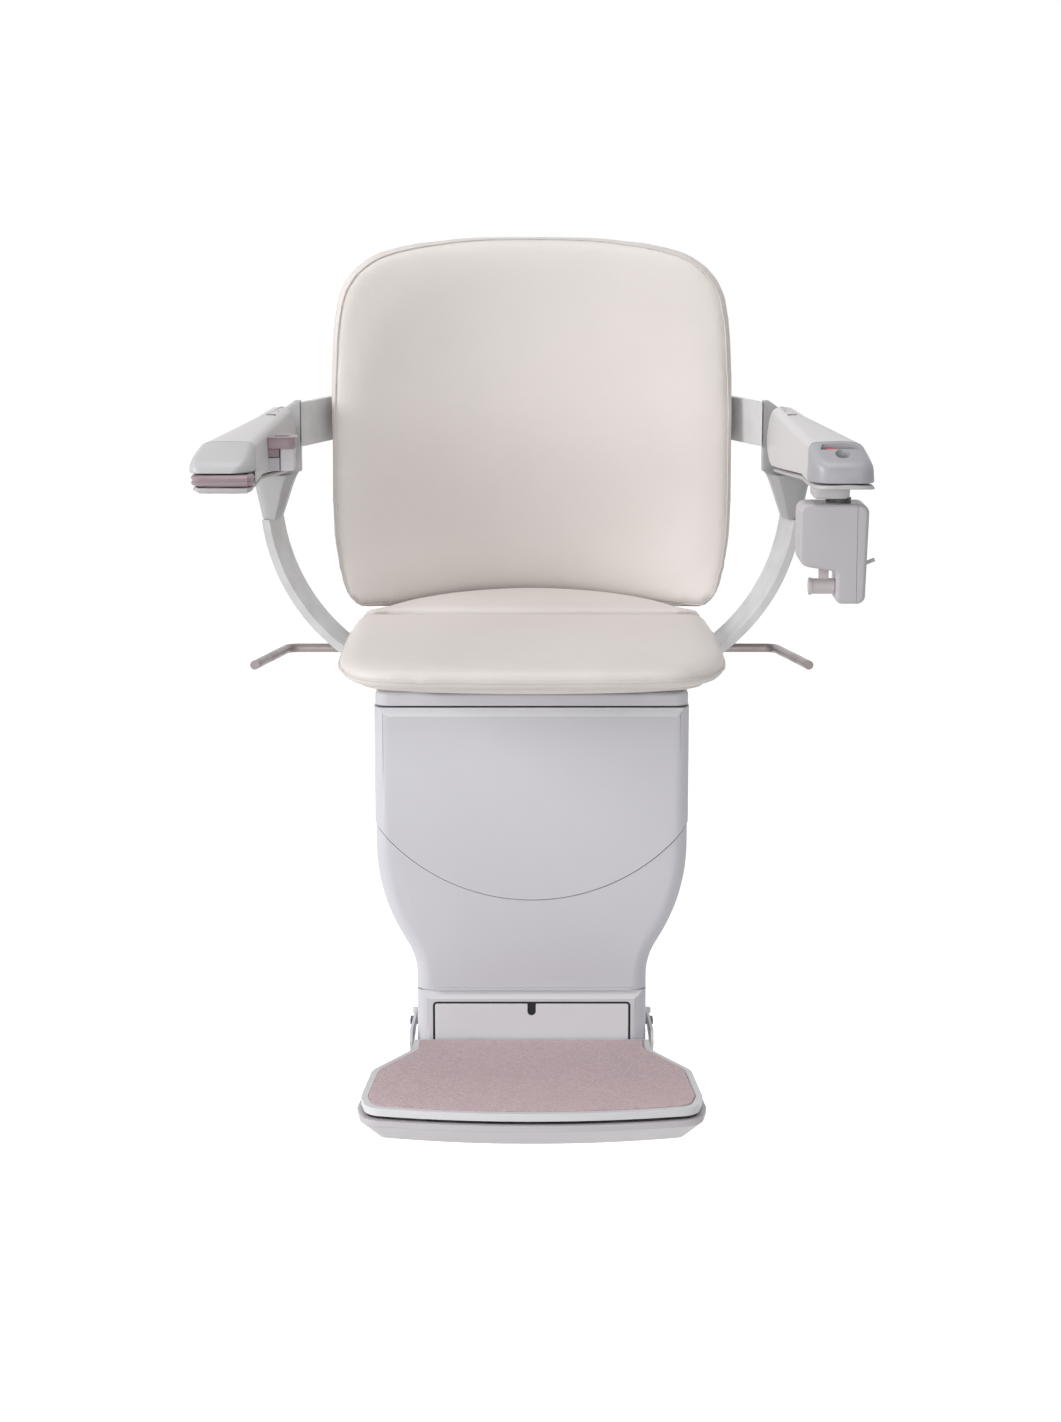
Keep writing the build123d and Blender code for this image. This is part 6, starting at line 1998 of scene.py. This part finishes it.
@dataclass(frozen=True)
class SoftBox:
    """One rectangular lamp.

    Attributes:
        name: lamp name.
        place: where it hangs.
        aim: what it points at.
        size: width and height.
        power: watts.
    """

    name: str
    place: Point3
    aim: Point3
    size: Point2
    power: float

    def hang(self) -> None:
        """Make the lamp and hang it in the scene."""
        data = bpy.data.lights.new(self.name, "AREA")
        data.shape, data.energy = "RECTANGLE", self.power
        data.size, data.size_y = self.size
        obj = bpy.data.objects.new(self.name, data)
        place = Vector(self.place)
        obj.location = place
        obj.rotation_euler = (Vector(self.aim) - place).to_track_quat("-Z", "Y").to_euler()
        bpy.context.scene.collection.objects.link(obj)


@dataclass
class Studio:
    """Floor, white surround, lamps and the camera at the photograph's place.

    Attributes:
        floor: height of the floor, in metres of the row frame.
        sensor: width of the camera's sensor, in millimetres.
        focal_pixels: focal length in pixels of the photograph.
        long_side: long side of the photograph in pixels.
        eye: place of the camera.
        pitch: how far it looks down, in degrees.
        ambient: strength of the surround's light on the chair.
        glow: strength of the floor's own white, for the camera alone.
        lamps: the soft boxes.
    """

    floor: float = -0.62
    sensor: float = 36.0
    focal_pixels: float = 2900.0
    long_side: float = 1422.0
    eye: Point3 = (-0.0013, -3.2783, 0.7521)
    pitch: float = 10.70
    ambient: float = 0.30
    glow: float = 0.75
    lamps: Sequence[SoftBox] = (SoftBox("Key", (-3.1, -1.5, 1.4), AIM, (1.5, 1.9), 70.0),
                                SoftBox("Front fill", (0.3, -3.8, 0.9), AIM, (2.4, 1.8), 19.0),
                                SoftBox("Low fill", (-0.3, -3.2, 0.1), (0.0, -0.25, -0.25), (1.6, 0.7), 7.0),
                                SoftBox("Top", (0.0, -0.6, 2.4), AIM, (1.2, 1.2), 16.0))

    def camera(self) -> None:
        """Place the camera."""
        data = bpy.data.cameras.new("Camera")
        data.lens = self.sensor * self.focal_pixels / self.long_side
        data.clip_end = 60.0
        obj = bpy.data.objects.new("Camera", data)
        obj.location = self.eye
        obj.rotation_euler = (math.radians(90 - self.pitch), 0.0, 0.0)
        bpy.context.scene.collection.objects.link(obj)
        bpy.context.scene.camera = obj

    def white(self, name: str) -> bpy.types.Material:
        """Pale ground that looks white to the camera and in reflections.

        Args:
            name: material name.

        Returns:
            The material.
        """
        material = bpy.data.materials.new(name)
        material.use_nodes = True
        graph = Graph(material.node_tree)
        shader = material.node_tree.nodes["Principled BSDF"]
        shader.inputs["Base Color"].default_value = (0.9, 0.9, 0.9, 1.0)
        shader.inputs["Roughness"].default_value = 0.9
        path = graph.add("ShaderNodeLightPath").outputs
        seen = graph.maths("MAXIMUM", path["Is Camera Ray"],
                           graph.maths("MAXIMUM", path["Is Glossy Ray"], path["Is Transmission Ray"]))
        glow = graph.maths("MULTIPLY", seen, self.glow)
        graph.tree.links.new(glow, shader.inputs["Emission Strength"])
        shader.inputs["Emission Color"].default_value = (1.0, 1.0, 1.0, 1.0)
        return material

    def ground(self) -> None:
        """Lay the floor."""
        bm = bmesh.new()
        bmesh.ops.create_grid(bm, x_segments=2, y_segments=2, size=14.0,
                              matrix=Matrix.Translation((0.0, 0.0, self.floor)))
        mesh = bpy.data.meshes.new("Floor")
        bm.to_mesh(mesh)
        bm.free()
        obj = bpy.data.objects.new("Floor", mesh)
        bpy.context.scene.collection.objects.link(obj)
        mesh.materials.append(self.white("Floor white"))

    def world(self) -> None:
        """Even studio surround that looks white to the camera."""
        world = bpy.data.worlds.new("Studio")
        bpy.context.scene.world = world
        world.use_nodes = True
        graph = Graph(world.node_tree)
        path = graph.add("ShaderNodeLightPath").outputs
        seen = graph.maths("MAXIMUM", path["Is Camera Ray"],
                           graph.maths("MAXIMUM", path["Is Glossy Ray"], path["Is Transmission Ray"]))
        back = world.node_tree.nodes["Background"]
        back.inputs["Color"].default_value = (1.0, 1.0, 1.0, 1.0)
        strength = graph.spread(seen, 0.0, 1.0, self.ambient, 1.0)
        graph.tree.links.new(strength, back.inputs["Strength"])

    def build(self) -> None:
        """Set up the whole studio."""
        bpy.context.scene.view_settings.view_transform = "Standard"
        self.camera()
        self.ground()
        self.world()
        for lamp in self.lamps:
            lamp.hang()


def main() -> None:
    """Load the frame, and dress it."""
    logging.basicConfig(level=logging.INFO, format="%(message)s")
    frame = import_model()
    Studio().build()
    shop = Workshop(frame)
    for assembly in (Carriage(), Chassis(), Footrest(), ChairFrame(), Seat(), Backrest(), Arms(),
                     BeltReel()):
        LOG.info("sub-assembly %s", type(assembly).__name__)
        assembly.build(shop)


if __name__ == "__main__":
    main()
